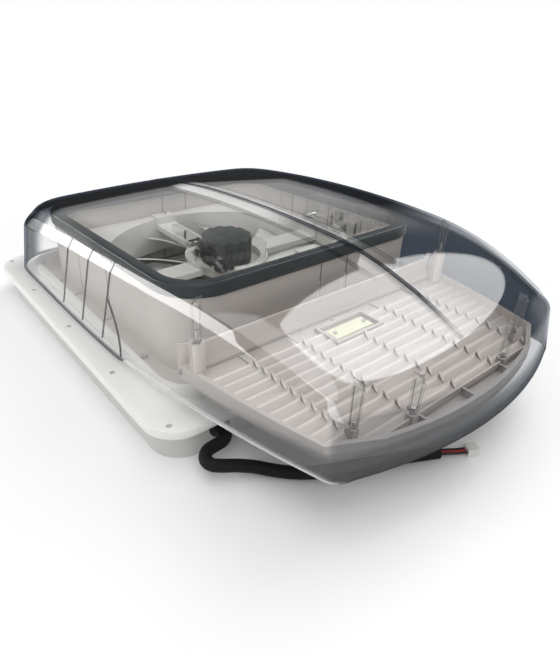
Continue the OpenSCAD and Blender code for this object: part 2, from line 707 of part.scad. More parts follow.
module arm_pins() color(steel) place() for (x = [-track_x - track_t - 1.5, arm_x])
    rod_x(pin_d, x, x + track_x + track_t + 1.5 - arm_x, tip_at(0)[0], tip_at(0)[1]);

module track(side) color(smoke) place() difference() {
    union() {
        side_plate(side > 0 ? track_x : -track_x - track_t, side > 0 ? track_x + track_t : -track_x)
            track_profile();
        intersection() {
            side_plate(side > 0 ? track_x : -track_x - 20, side > 0 ? track_x + 20 : -track_x)
                track_profile();
            union() {
                translate([-far, track_front - 2, track_top(track_l) - 6.8]) cube([2 * far, track_l + 4, 20]);
                for (i = [0.05, 0.34, 0.63, 0.92])
                    translate([-far, track_front + track_l * i, lift_z - 10]) cube([2 * far, 2, 60]);
            }
        }
        track_pad(side);
    }
    side_plate(-far, far) {
        polygon(slot_edge);
        translate(pin_path[0]) circle(r = slot_r);
        translate(pin_path[pin_path_n]) circle(r = slot_r);
    }
}

module track_pad(side) intersection() {
    translate([side * pad_x, lift_y, pad_z]) linear_extrude(2 * pad_h) difference() {
        pad_outline();
        for (i = [-2:2]) for (y = [-1, 1])
            translate([i * pad_groove_step, y * pad_w / 2]) circle(d = pad_groove, $fn = 12);
    }
    translate([side * pad_x, lift_y, pad_z + pad_h + sink]) rotate([0, side * pad_slope, 0])
        translate([-far, -far, -far]) cube([2 * far, 2 * far, far]);
}

module pad_outline() {
    for (x = [-1, 1]) for (y = [-1, 1])
        translate([x * (pad_l / 2 - pad_corner), y * (pad_w / 2 - pad_corner)]) circle(r = pad_corner);
    square([pad_l, pad_w - 2 * pad_corner], center = true);
    square([pad_l - 2 * pad_corner, pad_w], center = true);
}

module track_profile() {
    polygon(concat([[track_front, pin_path[pin_path_n][1] - slot_r - track_wall],
            [track_rear, pin_path[0][1] - slot_r - track_wall]],
        [for (i = [3:-1:0]) [track_front + track_l * i / 3, track_top(track_l * i / 3)]]));
}

module track_left() track(-1);

module track_right() track(1);

module hinge_brackets() color(beige) place() difference() {
    for (c = [-hinge_x, hinge_x]) for (s = [-1, 1]) {
        x0 = c + s * (knuckle_w / 2 + lug_gap + lug_t / 2) - lug_t / 2;
        side_plate(x0, x0 + lug_t) {
            translate([hinge_y, hinge_z]) circle(r = 6.5);
            translate([box_w / 2, hinge_z - 6.5]) square([hinge_y - box_w / 2, 13]);
        }
    }
    rod_x(hinge_pin_d, -far, far, hinge_y, hinge_z);
}

module hinge_pins() color(steel) place() for (c = [-hinge_x, hinge_x]) {
    reach = knuckle_w / 2 + lug_gap + lug_t;
    rod_x(hinge_pin_d, c - reach - 1, c + reach + 1, hinge_y, hinge_z);
}

module lid_knuckles() color(smoke) place() difference() {
    for (c = [-hinge_x, hinge_x]) side_plate(c - knuckle_w / 2, c + knuckle_w / 2) {
        translate([hinge_y, hinge_z]) circle(r = 6);
        polygon([[hinge_y, hinge_z - 6], [lid_rear - 3.2, hinge_z - 6], [lid_rear - 6.4, hinge_z + 22],
            [lid_rear - 11, hinge_z + 22], [hinge_y, hinge_z + 6]]);
    }
    rod_x(hinge_pin_d + 2 * run_fit, -far, far, hinge_y, hinge_z);
}

module lid_shell() color(smoke) place() polyhedron(lid_points, lid_faces, convexity = 6);

module post_places(p) {
    for (x = [-1, 1]) translate([x * p[0], p[1]]) children();
}

// A pair of posts whose heads follow the slope of the lid they are moulded to.
module lid_post(p, d, z0) for (side = [-1, 1]) intersection() {
    translate([side * p[0], p[1]]) rod(d, z0, lid_under(p[0], p[1]) + d);
    translate([side * p[0], p[1], lid_under(p[0], p[1]) + sink])
        rotate([atan(under_slope(p, [0, d / 2])), -side * atan(under_slope(p, [d / 2, 0])), 0])
        translate([-far, -far, -far]) cube([2 * far, 2 * far, far]);
}

module lid_posts() color(smoke) place() difference() {
    union() {
        lid_post(rear_post, rear_post_d, boss_top);
        for (p = [inner_post, corner_post]) lid_post(p, nose_post_d, plate_z_top + 0.2);
    }
    post_places(rear_post) rod(post_screw_d, boss_top - 1, boss_top + 12);
    for (p = [inner_post, corner_post]) post_places(p) rod(post_screw_d, plate_z_top - 1, plate_z_top + 6);
}

module post_screws() color(steel) place() {
    post_places(rear_post) rod(post_screw_d, plate_z, boss_top + 11);
    for (p = [inner_post, corner_post]) post_places(p) rod(post_screw_d, plate_z, plate_z_top + 5);
    for (p = [rear_post, inner_post, corner_post]) post_places(p) rod(6, plate_z - 2, plate_z);
}

module plate_area(d, z0, z1) {
    translate([0, 0, z0]) linear_extrude(z1 - z0) polygon(inset(plate_outline, d));
}

module louvre_plate() color([0.76, 0.73, 0.70]) place() difference() {
    union() {
        difference() {
            plate_area(0, plate_z, plate_z_top);
            plate_area(rail_t, plate_z - 1, plate_z_top + 1);
        }
        intersection() {
            plate_area(rail_t / 2, plate_z, plate_z_top);
            union() {
                for (i = [0:slat_n - 1]) side_plate(-lid_half_w, lid_half_w) slat_profile(slat_first - i * slat_step);
                side_plate(-lid_half_w, lid_half_w) {
                    translate([-plate_front, plate_z + 0.6]) square([plate_front + slat_last - slat_step, floor_t]);
                    translate([slat_last - slat_step, plate_z + 0.6]) square([2, plate_h - 3]);
                    translate([slat_first + 3, plate_z + 0.6]) square([plate_rear - slat_first - 4, floor_t]);
                }
                for (c = [-2:2]) side_plate(c * column_step - column_t / 2, c * column_step + column_t / 2)
                    column_profile();
            }
        }
        translate([0, 0, plate_z + 1.2]) linear_extrude(upstand_top - plate_z - 1.2) polygon(upstand_outline);
        translate([-pocket_w / 2 - 3, sensor_y - 16, plate_z + 0.3]) cube([pocket_w + 6, 32, 8]);
        post_places(rear_post) rod(13, plate_z + 0.2, boss_top);
        post_places(inner_post) rod(10, plate_z + 0.2, plate_z_top + 0.2);
        post_places(corner_post) rod(9, plate_z + 0.2, plate_z_top + 0.2);
        for (e = [-1, 1]) translate([e * rear_post[0] - 1, rear_post[1], plate_z + 0.8])
            cube([2, plate_rear - rear_post[1] - 1.5, 30]);
    }
    translate([-pocket_w / 2, sensor_y - 13, plate_z + 3]) cube([pocket_w, 26, 20]);
    for (p = [rear_post, inner_post, corner_post]) post_places(p) rod(post_screw_d, plate_z - 1, boss_top + 1);
    for (x = [-20, 20]) translate([x, sensor_y]) rod(2.2, plate_z - 1, plate_z + 10);
}

module slat_profile(y) {
    polygon([[y, plate_z + slat_rise], [y, plate_z + slat_rise + slat_t],
        [y - slat_step - 1, plate_z + 1 + slat_t], [y - slat_step - 1, plate_z + 1]]);
}

module column_profile() {
    translate([slat_last - slat_step - 14, plate_z + 1.5]) square([plate_rear - 4 - slat_last + slat_step + 14, 3]);
    translate([-plate_front + 2, plate_z + 1.5]) square([plate_front + slat_last - slat_step - 1, plate_h - 5]);
    for (i = [0:slat_n - 1]) translate([slat_first - i * slat_step, plate_z])
        polygon([[-1, 2], [-1, plate_h - 1.5], [-9, 3.5], [-9, 2]]);
}

module rain_sensor() color([0.80, 0.84, 0.55]) place() difference() {
    translate([-25, sensor_y - 8, plate_z + 3]) cube([50, 16, 3]);
    for (x = [-20, 20]) translate([x, sensor_y]) rod(2.2, plate_z, plate_z + 10);
}

module sensor_screws() color(steel) place() for (x = [-20, 20]) translate([x, sensor_y]) {
    rod(2.2, plate_z + 0.5, plate_z + 6);
    rod(4.5, plate_z + 6, plate_z + 7.6);
}

module cable_grommet() color(black) place() translate([grommet_x, -trim_w / 2, grommet_z]) rotate([-90, 0, 0])
    difference() {
        union() {
            translate([0, 0, -2]) cylinder(d = sleeve_d + 9, h = 2);
            cylinder(d = sleeve_d + 5, h = trim_wall);
        }
        translate([0, 0, -3]) cylinder(d = sleeve_d, h = 10);
    }

module harness_sleeve() color(black) harness_place()
    polyhedron(tube_points(harness_points, sleeve_r), tube_faces(len(harness_points)), convexity = 6);

module harness_wires() color([0.5, 0.08, 0.08]) harness_place() for (e = [-1, 0, 1])
    polyhedron(tube_points([for (p = wire_points) p + e * [1.3, 2.2, 0]], 1.1), tube_faces(len(wire_points)));

module harness_connector() color([0.85, 0.86, 0.84]) harness_place()
    translate(connector_at) rotate(connector_turn) difference() {
        translate([-3, -5, -4]) cube([11, 10, 8]);
        for (e = [-1, 0, 1]) translate([2, e * 3 - 1, -1]) cube([7, 2, 2]);
    }

roof_flange();
roof_gasket();
ceiling_trim();
trim_screws();
screen_frame();
screen_mesh();
screen_button_front();
screen_button_rear();
screen_button_left();
screen_button_right();
keypad();
circuit_board();
duct_box();
box_screws();
rim_seal();
fan_shroud();
motor_spider();
spider_screws();
fan_motor();
motor_cap();
fan_shaft();
fan_rotor();
fan_nut();
lift_gearbox();
shaft_bearings();
lift_shaft();
lift_arm_left();
lift_arm_right();
arm_pins();
hinge_brackets();
hinge_pins();
lid_knuckles();
lid_shell();
lid_posts();
post_screws();
track_left();
track_right();
louvre_plate();
rain_sensor();
sensor_screws();
cable_grommet();
harness_sleeve();
harness_wires();
harness_connector();
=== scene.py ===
import bpy
import bmesh
import numpy as np
from mathutils import Matrix


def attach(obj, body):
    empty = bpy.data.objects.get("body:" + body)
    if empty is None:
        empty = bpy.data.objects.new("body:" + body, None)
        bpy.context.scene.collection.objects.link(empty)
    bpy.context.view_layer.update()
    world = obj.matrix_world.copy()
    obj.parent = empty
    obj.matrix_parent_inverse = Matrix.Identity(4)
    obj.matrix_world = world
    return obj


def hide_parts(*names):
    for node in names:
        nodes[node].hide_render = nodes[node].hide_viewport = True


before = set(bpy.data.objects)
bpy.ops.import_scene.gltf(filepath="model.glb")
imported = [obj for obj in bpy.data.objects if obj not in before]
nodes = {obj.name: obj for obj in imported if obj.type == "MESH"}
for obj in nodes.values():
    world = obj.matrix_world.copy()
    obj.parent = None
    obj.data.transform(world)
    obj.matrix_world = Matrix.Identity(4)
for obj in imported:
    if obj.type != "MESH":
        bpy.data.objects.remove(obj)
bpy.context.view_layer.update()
baseY = 76.0  # the flange's middle lies this far along Y, in mm
fullTurn = 2 * np.pi
print("frame loaded:", len(nodes), "nodes")


def metres(points):
    # millimetres about the flange's middle to metres in the shared frame
    return (np.asarray(points, float) + [0.0, baseY, 0.0]) * 0.001


def ramp(value, start, end):
    # straight rise from 0 at start to 1 at end, level beyond both
    return np.clip((value - start) / (end - start), 0, 1)


def unit(vectors):
    return vectors / np.linalg.norm(vectors, axis=-1, keepdims=True)


def circle(count):
    # angles once round
    return np.linspace(0, fullTurn, count, endpoint=False)


def show(thing):
    bpy.context.scene.collection.objects.link(thing)


def stand(thing, axes, place):
    # shows an object with its own axes and place
    turn = np.eye(4)
    turn[:3, :3] = np.stack(axes, -1)
    turn[:3, 3] = metres(place)
    thing.matrix_world = Matrix(turn.tolist())
    show(thing)


# camera: the photograph's viewing angle
cameraView = dict(
    place=(-355.1, -500.3, 337.5), yaw=0.7275, pitch=0.5135, roll=-0.0556,
    focal=543.17, centre=(278.91, 313.97), image=(560, 655), nearest=0.01,
)


def buildCamera(view):
    yaw, pitch, roll = view["yaw"], view["pitch"], view["roll"]
    wide, tall = view["image"]
    ahead = np.array([np.sin(yaw) * np.cos(pitch), np.cos(yaw) * np.cos(pitch), -np.sin(pitch)])
    level = np.array([np.cos(yaw), -np.sin(yaw), 0.0])
    drop = np.cross(ahead, level)
    across = np.cos(roll) * level + np.sin(roll) * drop
    below = -np.sin(roll) * level + np.cos(roll) * drop
    data = bpy.data.cameras.new("photoCamera")
    data.sensor_fit = "HORIZONTAL"
    data.lens = view["focal"] / wide * data.sensor_width
    data.shift_x = (wide / 2 - view["centre"][0]) / wide
    data.shift_y = (view["centre"][1] - tall / 2) / wide
    data.clip_start = view["nearest"]
    camera = bpy.data.objects.new("photoCamera", data)
    stand(camera, (across, -below, -ahead), view["place"])
    bpy.context.scene.camera = camera


buildCamera(cameraView)
print("camera set")


# shader maths: arithmetic on a Wire adds Math nodes to its finish
class Wire:
    def __init__(self, finish, socket):
        self.finish, self.socket = finish, socket

    def __add__(self, other):
        return self.finish.maths("ADD", self, other)

    def __sub__(self, other):
        return self.finish.maths("SUBTRACT", self, other)

    def __rsub__(self, other):
        return self.finish.maths("SUBTRACT", other, self)

    def __mul__(self, other):
        return self.finish.maths("MULTIPLY", self, other)

    def __pow__(self, other):
        return self.finish.maths("POWER", self, other)


class Finish:
    def __init__(self, name, holder=None):
        self.material = holder or bpy.data.materials.new(name)
        self.material.use_nodes = True
        self.tree = self.material.node_tree
        self.tree.nodes.clear()

    def node(self, kind, settings=None, inputs=None, output=0):
        made = self.tree.nodes.new(kind)
        for key, value in (settings or {}).items():
            setattr(made, key, value)
        for key, value in (inputs or {}).items():
            if isinstance(value, Wire):
                self.tree.links.new(value.socket, made.inputs[key])
            else:
                made.inputs[key].default_value = value
        return Wire(self, made.outputs[output]) if made.outputs else made

    def maths(self, operation, first, second=0.0):
        return self.node("ShaderNodeMath", {"operation": operation}, {0: first, 1: second})

    def parts(self, vector):
        # the three numbers of a vector
        split = self.node("ShaderNodeSeparateXYZ", None, {"Vector": vector}).socket.node
        return [Wire(self, output) for output in split.outputs]

    def objectPlace(self):
        return self.node("ShaderNodeTexCoord", output=3)

    def surfaceWay(self):
        return self.node("ShaderNodeTexCoord", output=1)

    def attribute(self, name):
        return self.node("ShaderNodeAttribute", {"attribute_name": name}, output=2)

    def seenDirect(self):
        # 1 for what is seen straight, in a mirror or through clear plastic
        paths = self.node("ShaderNodeLightPath").socket.node.outputs
        straight, mirrored, through = [
            Wire(self, paths[name]) for name in ("Is Camera Ray", "Is Glossy Ray", "Is Transmission Ray")]
        return straight + mirrored + through

    def noise(self, place, scale, detail=2.0, rough=0.5):
        return self.node("ShaderNodeTexNoise", None,
                         {"Vector": place, "Scale": scale, "Detail": detail, "Roughness": rough})

    def between(self, factor, first, second):
        return self.node("ShaderNodeMix", {"data_type": "RGBA"}, {0: factor, 6: first, 7: second}, output=2)

    def spread(self, value, low, high, toLow, toHigh):
        return self.node("ShaderNodeMapRange", {"interpolation_type": "SMOOTHSTEP"},
                         {"Value": value, "From Min": low, "From Max": high,
                          "To Min": toLow, "To Max": toHigh})

    def mixed(self, factor, first, second):
        return self.node("ShaderNodeMixShader", None, {0: factor, 1: first, 2: second})

    def bump(self, height, strength, distance):
        return self.node("ShaderNodeBump", None,
                         {"Height": height, "Strength": strength, "Distance": distance})

    def surface(self, inputs):
        return self.node("ShaderNodeBsdfPrincipled", None, inputs)

    def close(self, shader):
        self.node("ShaderNodeOutputMaterial", None, {"Surface": shader})
        return self.material


def tinted(colour, share):
    return tuple(c * share for c in colour[:3]) + (1.0,)


plasticLook = dict(
    driftScale=18.0, driftDetail=3.0, driftUp=0.6, grainDetail=2.0, grainRough=0.6, grainStrength=0.25,
    grainDepth=0.00006, dullScale=60.0, dullDetail=4.0, dull=(0.3, 0.7), smoother=0.06, rougher=0.08,
    index=1.5,
)
seamLook = dict(away=(0.0006, 0.0013), depth=0.75, facing=(0.3, 0.6), tone=0.12)
# painted slat shading: shade in the slats' low ends and on the gussets, a highlight along the crests
slatLook = dict(
    slope=(-0.38, -0.30), crestFrom=0.001, crestTo=0.0006, grime=0.5, valleyShadeTone=0.55, rub=0.9, crestHighlightTone=1.4,
    gussetShade=(0.6, 0.8), gussetShadeDepth=0.75, gussetShadeTone=0.4, plateEdge=(0.116, 0.118),
)


def seamed(f, shade, colour, seams):
    # shadowed joints on the walls, each a line at one place along an axis
    look = seamLook
    ways = f.parts(f.objectPlace())
    flat = f.parts(f.surfaceWay())
    for axis, spot in seams:
        away = f.maths("ABSOLUTE", ways[axis] - spot)
        facing = f.maths("ABSOLUTE", flat[axis])
        groove = f.spread(away, *look["away"], look["depth"], 0.0)
        groove = groove * f.spread(facing, *look["facing"], 1.0, 0.0)
        shade = f.between(groove, shade, tinted(colour, look["tone"]))
    return shade


def slatted(f, shade, colour, low, crest):
    # slopes that face the front: painted shade in their low ends, a painted highlight along their crests,
    # painted shade on the gussets' sides
    look = slatLook
    ways = f.parts(f.objectPlace())
    flat = f.parts(f.surfaceWay())
    slope = f.spread(flat[1], *look["slope"], 1.0, 0.0)
    gussetShade = f.spread(f.maths("ABSOLUTE", flat[0]), *look["gussetShade"], 0.0, look["gussetShadeDepth"])
    gussetShade = gussetShade * f.spread(f.maths("ABSOLUTE", ways[0]), *look["plateEdge"], 1.0, 0.0)
    highlightFrom = crest - look["crestFrom"]
    grime = slope * f.spread(ways[2], low, highlightFrom, look["grime"], 0.0)
    rub = slope * f.spread(ways[2], highlightFrom, crest - look["crestTo"], 0.0, look["rub"])
    shade = f.between(grime, shade, tinted(colour, look["valleyShadeTone"]))
    shade = f.between(rub, shade, tinted(colour, look["crestHighlightTone"]))
    return f.between(gussetShade, shade, tinted(colour, look["gussetShadeTone"]))


def mouldedPlastic(name, colour, rough, grain=900.0, mottle=0.05, seams=(), slats=None):
    # moulded plastic: slow colour drift, a fine grain and patches of duller skin
    look = plasticLook
    f = Finish(name)
    place = f.objectPlace()
    drift = f.noise(place, look["driftScale"], look["driftDetail"])
    fine = f.noise(place, grain, look["grainDetail"], look["grainRough"])
    patches = f.noise(place, look["dullScale"], look["dullDetail"])
    shade = f.between(drift, tinted(colour, 1.0 - mottle), tinted(colour, 1.0 + mottle * look["driftUp"]))
    if seams:
        shade = seamed(f, shade, colour, seams)
    # painted shade and highlight on the slats
    if slats:
        shade = slatted(f, shade, colour, *slats)
    dull = f.spread(patches, *look["dull"], rough - look["smoother"], rough + look["rougher"])
    return f.close(f.surface({"Base Color": shade, "Roughness": dull, "IOR": look["index"],
                              "Normal": f.bump(fine, look["grainStrength"], look["grainDepth"])}))


clearLook = dict(
    blend=0.5, edgeDepth=0.75, skinPower=5.0, skinGain=0.3, skinLeast=0.048, skinCut=0.97, slant=(0.55, 0.75),
    side=(0.1, 0.3), sideLeast=0.25, paleMatte=(0.86, 0.86, 0.84, 1.0), paleMatteRough=0.5,
    mirror=(1.0, 1.0, 1.0, 1.0), hazeScale=26.0, hazeDetail=3.0, haze=(0.3, 0.7), hazeRough=0.02,
)


def smokedClear(name, smoke, deepSmoke, sheen, edgeFrom, marked=False):
    # smoked clear plastic: tinted see-through with a mirror skin, darker edge-on, and with painted shade,
    # painted highlights and a pale matte where marked
    look = clearLook
    f = Finish(name)
    facing = f.node("ShaderNodeLayerWeight", None, {"Blend": look["blend"]}, output=1)
    depth = f.spread(facing, edgeFrom, 1.0, 0.0, look["edgeDepth"])
    skin = facing ** look["skinPower"] * look["skinGain"] + look["skinLeast"]
    if marked:
        # painted shade, deep only along a long slanting path, sooner on the side wall
        slant = f.attribute("slantShadeDepth") * f.spread(facing, *look["slant"], 0.0, 1.0)
        side = f.attribute("sideShadeDepth") * f.spread(facing, *look["side"], look["sideLeast"], 1.0)
        mark = f.maths("MAXIMUM", f.attribute("paintedShadeDepth"), slant + side)
        depth = f.maths("MAXIMUM", depth, mark)
        skin = skin * (1.0 - mark * look["skinCut"])
    clear = f.node("ShaderNodeBsdfTransparent", None, {"Color": smoke})
    dark = f.node("ShaderNodeBsdfTransparent", None, {"Color": deepSmoke})
    body = f.mixed(depth, clear, dark)
    # a pale matte layer where marked, partly a painted highlight
    if marked:
        matt = f.surface({"Base Color": look["paleMatte"], "Roughness": look["paleMatteRough"]})
        body = f.mixed(f.attribute("paleMatte"), body, matt)
    haze = f.noise(f.objectPlace(), look["hazeScale"], look["hazeDetail"])
    gloss = f.spread(haze, *look["haze"], sheen, sheen + look["hazeRough"])
    mirror = f.node("ShaderNodeBsdfGlossy", None, {"Color": look["mirror"], "Roughness": gloss})
    return f.close(f.mixed(skin, body, mirror))


rubberLook = dict(
    bloomScale=35.0, bloomDetail=4.0, bloom=(0.45, 0.75), bloomShare=0.5, bloomTone=1.8, bloomRough=0.15,
    grain=1400.0, grainStrength=0.3, grainDepth=0.00005,
)


def rubber(name, colour, rough):
    # rubber: dark, with paler and duller blooms and a fine grain
    look = rubberLook
    f = Finish(name)
    place = f.objectPlace()
    bloom = f.spread(f.noise(place, look["bloomScale"], look["bloomDetail"]), *look["bloom"], 0.0, 1.0)
    shade = f.between(bloom * look["bloomShare"], colour, tinted(colour, look["bloomTone"]))
    dull = f.spread(bloom, 0.0, 1.0, rough, rough + look["bloomRough"])
    grain = f.bump(f.noise(place, look["grain"]), look["grainStrength"], look["grainDepth"])
    return f.close(f.surface({"Base Color": shade, "Roughness": dull, "Normal": grain}))


steelLook = dict(stretch=(40.0, 900.0, 900.0), detail=3.0, tone=0.85, streak=(0.2, 0.8), streakRough=0.15)


def brightSteel(name, colour, rough):
    # bright steel: fine streaks along X
    look = steelLook
    f = Finish(name)
    drawn = f.node("ShaderNodeMapping", None, {"Vector": f.objectPlace(), "Scale": look["stretch"]})
    streak = f.noise(drawn, 1.0, look["detail"])
    shade = f.between(streak, tinted(colour, look["tone"]), colour)
    dull = f.spread(streak, *look["streak"], rough, rough + look["streakRough"])
    return f.close(f.surface({"Base Color": shade, "Metallic": 1.0, "Roughness": dull}))


screenLook = dict(wireFrom=0.55, rough=0.45, metal=0.4)


def wovenScreen(name, colour, pitch):
    # insect screen: fine square weave, open between the wires
    look = screenLook
    f = Finish(name)
    across, along, _ = f.parts(f.objectPlace())
    first = f.maths("SINE", across * (fullTurn / pitch))
    second = f.maths("SINE", along * (fullTurn / pitch))
    solid = f.maths("GREATER_THAN", f.maths("MAXIMUM", first, second), look["wireFrom"])
    return f.close(f.surface({"Base Color": colour, "Roughness": look["rough"], "Metallic": look["metal"],
                              "Alpha": solid}))


braidLook = dict(low=0.5, high=1.6, rough=0.62, specular=0.2, strength=0.6, depth=0.0004)


def braidedSleeve(name, colour):
    # braided sleeve: two crossing sets of threads on the sleeve's own map
    look = braidLook
    f = Finish(name)
    along, around, _ = f.parts(f.node("ShaderNodeUVMap", {"uv_map": "sleeve"}))
    first = f.maths("SINE", (along + around) * fullTurn)
    second = f.maths("SINE", (along - around) * fullTurn)
    weave = (first * second + 1.0) * 0.5
    shade = f.between(weave, tinted(colour, look["low"]), tinted(colour, look["high"]))
    return f.close(f.surface({"Base Color": shade, "Roughness": look["rough"],
                              "Specular IOR Level": look["specular"],
                              "Normal": f.bump(weave, look["strength"], look["depth"])}))


boardLook = dict(
    scale=260.0, first=(0.02, 0.16, 0.07, 1), second=(0.03, 0.20, 0.09, 1), track=(0.05, 0.28, 0.12, 1),
    trackWide=0.03, rough=0.35, coat=0.4,
)


def boardGreen(name):
    # circuit board: green lacquer over a brick pattern of tracks
    look = boardLook
    f = Finish(name)
    shade = f.node("ShaderNodeTexBrick", {"offset": 0.5},
                   {"Vector": f.objectPlace(), "Scale": look["scale"], "Color1": look["first"],
                    "Color2": look["second"], "Mortar": look["track"], "Mortar Size": look["trackWide"]})
    return f.close(f.surface({"Base Color": shade, "Roughness": look["rough"], "Coat Weight": look["coat"]}))


boxSeams = ((0, 0.0015), (0, 0.0385), (1, 0.134), (1, 0.0615))  # axis and place in metres
slatHeights = (0.0665, 0.0717)  # low ends and crests in metres

# moulded: colour, roughness, grain, mottle; clear: tint, deep tint, sheen, where its edge starts to darken
finishes = dict(
    white=mouldedPlastic("whiteShell", (0.82, 0.82, 0.80, 1), 0.34, 1500.0, 0.02),
    # the trim is the white plastic darkened as painted shade, a shaded copy of whiteShell
    trim=mouldedPlastic("trimWhiteShaded", (0.60, 0.60, 0.585, 1), 0.36, 1500.0, 0.02),
    grey=mouldedPlastic("boxGrey", (0.62, 0.58, 0.55, 1), 0.42, seams=boxSeams),
    louvre=mouldedPlastic("louvreBeige", (0.53, 0.485, 0.46, 1), 0.45, slats=slatHeights),
    pale=mouldedPlastic("paleGrey", (0.76, 0.75, 0.72, 1), 0.40),
    blade=mouldedPlastic("bladeGrey", (0.72, 0.72, 0.69, 1), 0.38),
    slate=mouldedPlastic("capSlate", (0.042, 0.058, 0.055, 1), 0.38, 700.0, 0.12),
    lid=smokedClear("lidSmoke", (0.98, 0.98, 0.978, 1), (0.095, 0.128, 0.175, 1), 0.015, 0.86, True),
    rib=smokedClear("ribSmoke", (0.22, 0.24, 0.26, 1), (0.08, 0.10, 0.12, 1), 0.05, 0.72),
    clear=smokedClear("clearMoulding", (0.95, 0.95, 0.94, 1), (0.25, 0.26, 0.26, 1), 0.03, 0.5),
    faint=smokedClear("clearArm", (0.975, 0.975, 0.97, 1), (0.74, 0.74, 0.73, 1), 0.03, 0.6),
    pad=smokedClear("clearPad", (0.965, 0.965, 0.96, 1), (0.46, 0.46, 0.45, 1), 0.03, 0.52),
    seal=rubber("sealRubber", (0.012, 0.020, 0.024, 1), 0.32),
    gasket=rubber("gasketRubber", (0.02, 0.02, 0.02, 1), 0.6),
    steel=brightSteel("screwSteel", (0.62, 0.62, 0.63, 1), 0.25),
    screen=wovenScreen("screenWeave", (0.05, 0.05, 0.05, 1), 0.0016),
    sleeve=braidedSleeve("blackBraid", (0.006, 0.006, 0.0065, 1)),
    board=boardGreen("boardGreen"),
    strip=mouldedPlastic("sensorStrip", (0.80, 0.82, 0.60, 1), 0.35, 1200.0, 0.08),
    keys=mouldedPlastic("keypadGrey", (0.06, 0.065, 0.07, 1), 0.5),
    plug=mouldedPlastic("plugNylon", (0.74, 0.75, 0.72, 1), 0.4, 1500.0, 0.03),
    wireRed=mouldedPlastic("wireRed", (0.42, 0.03, 0.03, 1), 0.4),
    wireBlack=mouldedPlastic("wireBlack", (0.015, 0.015, 0.015, 1), 0.4),
)
print("finishes made:", len(finishes))


# surfaces: a part is its points, its quads and its filled rings; a piece is one mesh of several parts
def gridFaces(rows, columns, wrapRows=False, wrapColumns=False):
    # quads between each grid point and its next neighbours, closing round where asked
    i, j = np.meshgrid(np.arange(rows if wrapRows else rows - 1),
                       np.arange(columns if wrapColumns else columns - 1), indexing="ij")
    k, m = (i + 1) % rows, (j + 1) % columns
    return np.stack([i * columns + j, k * columns + j, k * columns + m, i * columns + m], -1).reshape(-1, 4)


def surface(points, wrapRows=False, wrapColumns=False):
    points = np.asarray(points, float)
    return points.reshape(-1, 3), gridFaces(*points.shape[:2], wrapRows, wrapColumns), []


def capped(points):
    # a tube of closed rings with both end rings filled
    verts, quads, _ = surface(points, wrapColumns=True)
    ring = np.arange(points.shape[1])
    return verts, quads, [ring[::-1], ring + len(verts) - len(ring)]


def joined(parts):
    # one part from several: each one's faces count on from the points before it
    starts = np.cumsum([0] + [len(verts) for verts, _, _ in parts])
    verts = np.concatenate([part[0] for part in parts])
    quads = np.concatenate([part[1] + start for part, start in zip(parts, starts)])
    return verts, quads, [cap + start for part, start in zip(parts, starts) for cap in part[2]]


def meshOf(name, part):
    verts, quads, caps = part
    mesh = bpy.data.meshes.new(name)
    mesh.from_pydata(metres(verts).tolist(), [], quads.tolist() + [cap.tolist() for cap in caps])
    return mesh


def placePiece(name, mesh, finish, body, stands=()):
    mesh.polygons.foreach_set("use_smooth", np.ones(len(mesh.polygons), bool))
    mesh.materials.clear()
    mesh.materials.append(finishes[finish])
    piece = bpy.data.objects.new(name, mesh)
    show(piece)
    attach(piece, body)
    if stands:
        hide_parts(*stands)
    return piece


mergeLook = dict(made=1e-6, node=2e-6, flat=0.01)  # merging distances in metres, angle of a flat join


def makePiece(name, parts, finish, body, stands=(), marks=None):
    mesh = meshOf(name, joined(parts))
    for label, values in (marks or {}).items():
        layer = mesh.attributes.new(label, "FLOAT", "POINT")
        layer.data.foreach_set("value", np.ravel(values).astype(np.float32))
    edited = bmesh.new()
    edited.from_mesh(mesh)
    bmesh.ops.remove_doubles(edited, verts=edited.verts, dist=mergeLook["made"])
    bmesh.ops.recalc_face_normals(edited, faces=edited.faces)
    edited.to_mesh(mesh)
    edited.free()
    return placePiece(name, mesh, finish, body, stands)


edgeLook = dict(segments=2, angle=0.5)


def dressedNode(node, name, finish, body, width):
    # the node's own shape, merged and with its edges broken
    mesh = nodes[node].data.copy()
    mesh.name = name
    edited = bmesh.new()
    edited.from_mesh(mesh)
    bmesh.ops.remove_doubles(edited, verts=edited.verts, dist=mergeLook["node"])
    bmesh.ops.dissolve_limit(edited, angle_limit=mergeLook["flat"], verts=edited.verts, edges=edited.edges)
    edited.to_mesh(mesh)
    edited.free()
    if "custom_normal" in mesh.attributes:
        mesh.attributes.remove(mesh.attributes["custom_normal"])
    mesh.edges.foreach_set("use_edge_sharp", np.zeros(len(mesh.edges), bool))
    piece = placePiece(name, mesh, finish, body, (node,))
    made = piece.modifiers.new("softEdges", "BEVEL")
    made.width, made.segments = width, edgeLook["segments"]
    made.limit_method, made.angle_limit = "ANGLE", edgeLook["angle"]
    made.harden_normals = True
    return piece


def lengthAlong(curve):
    return np.concatenate([[0.0], np.cumsum(np.linalg.norm(np.diff(curve, axis=0), axis=1))])


def spaced(curve, shares):
    # points at the given shares of a curve's length
    run = lengthAlong(curve)
    return np.stack([np.interp(shares * run[-1], run, curve[:, k]) for k in range(curve.shape[1])], -1)


def evenly(curve, count):
    return spaced(curve, np.linspace(0, 1, count))


def smoothPath(points, count, steps=24):
    # Catmull-Rom curve through the points, then spread evenly along its length
    p = np.asarray(points, float)
    p = np.vstack([2 * p[0] - p[1], p, 2 * p[-1] - p[-2]])
    t = np.linspace(0, 1, steps, endpoint=False)[:, None, None]
    a, b, c, d = p[None, :-3], p[None, 1:-2], p[None, 2:-1], p[None, 3:]
    square = (2 * a - 5 * b + 4 * c - d) * t ** 2
    cube = (3 * b - a - 3 * c + d) * t ** 3
    curve = 0.5 * (2 * b + (c - a) * t + square + cube)
    return evenly(np.vstack([np.swapaxes(curve, 0, 1).reshape(-1, 3), p[-2]]), count)


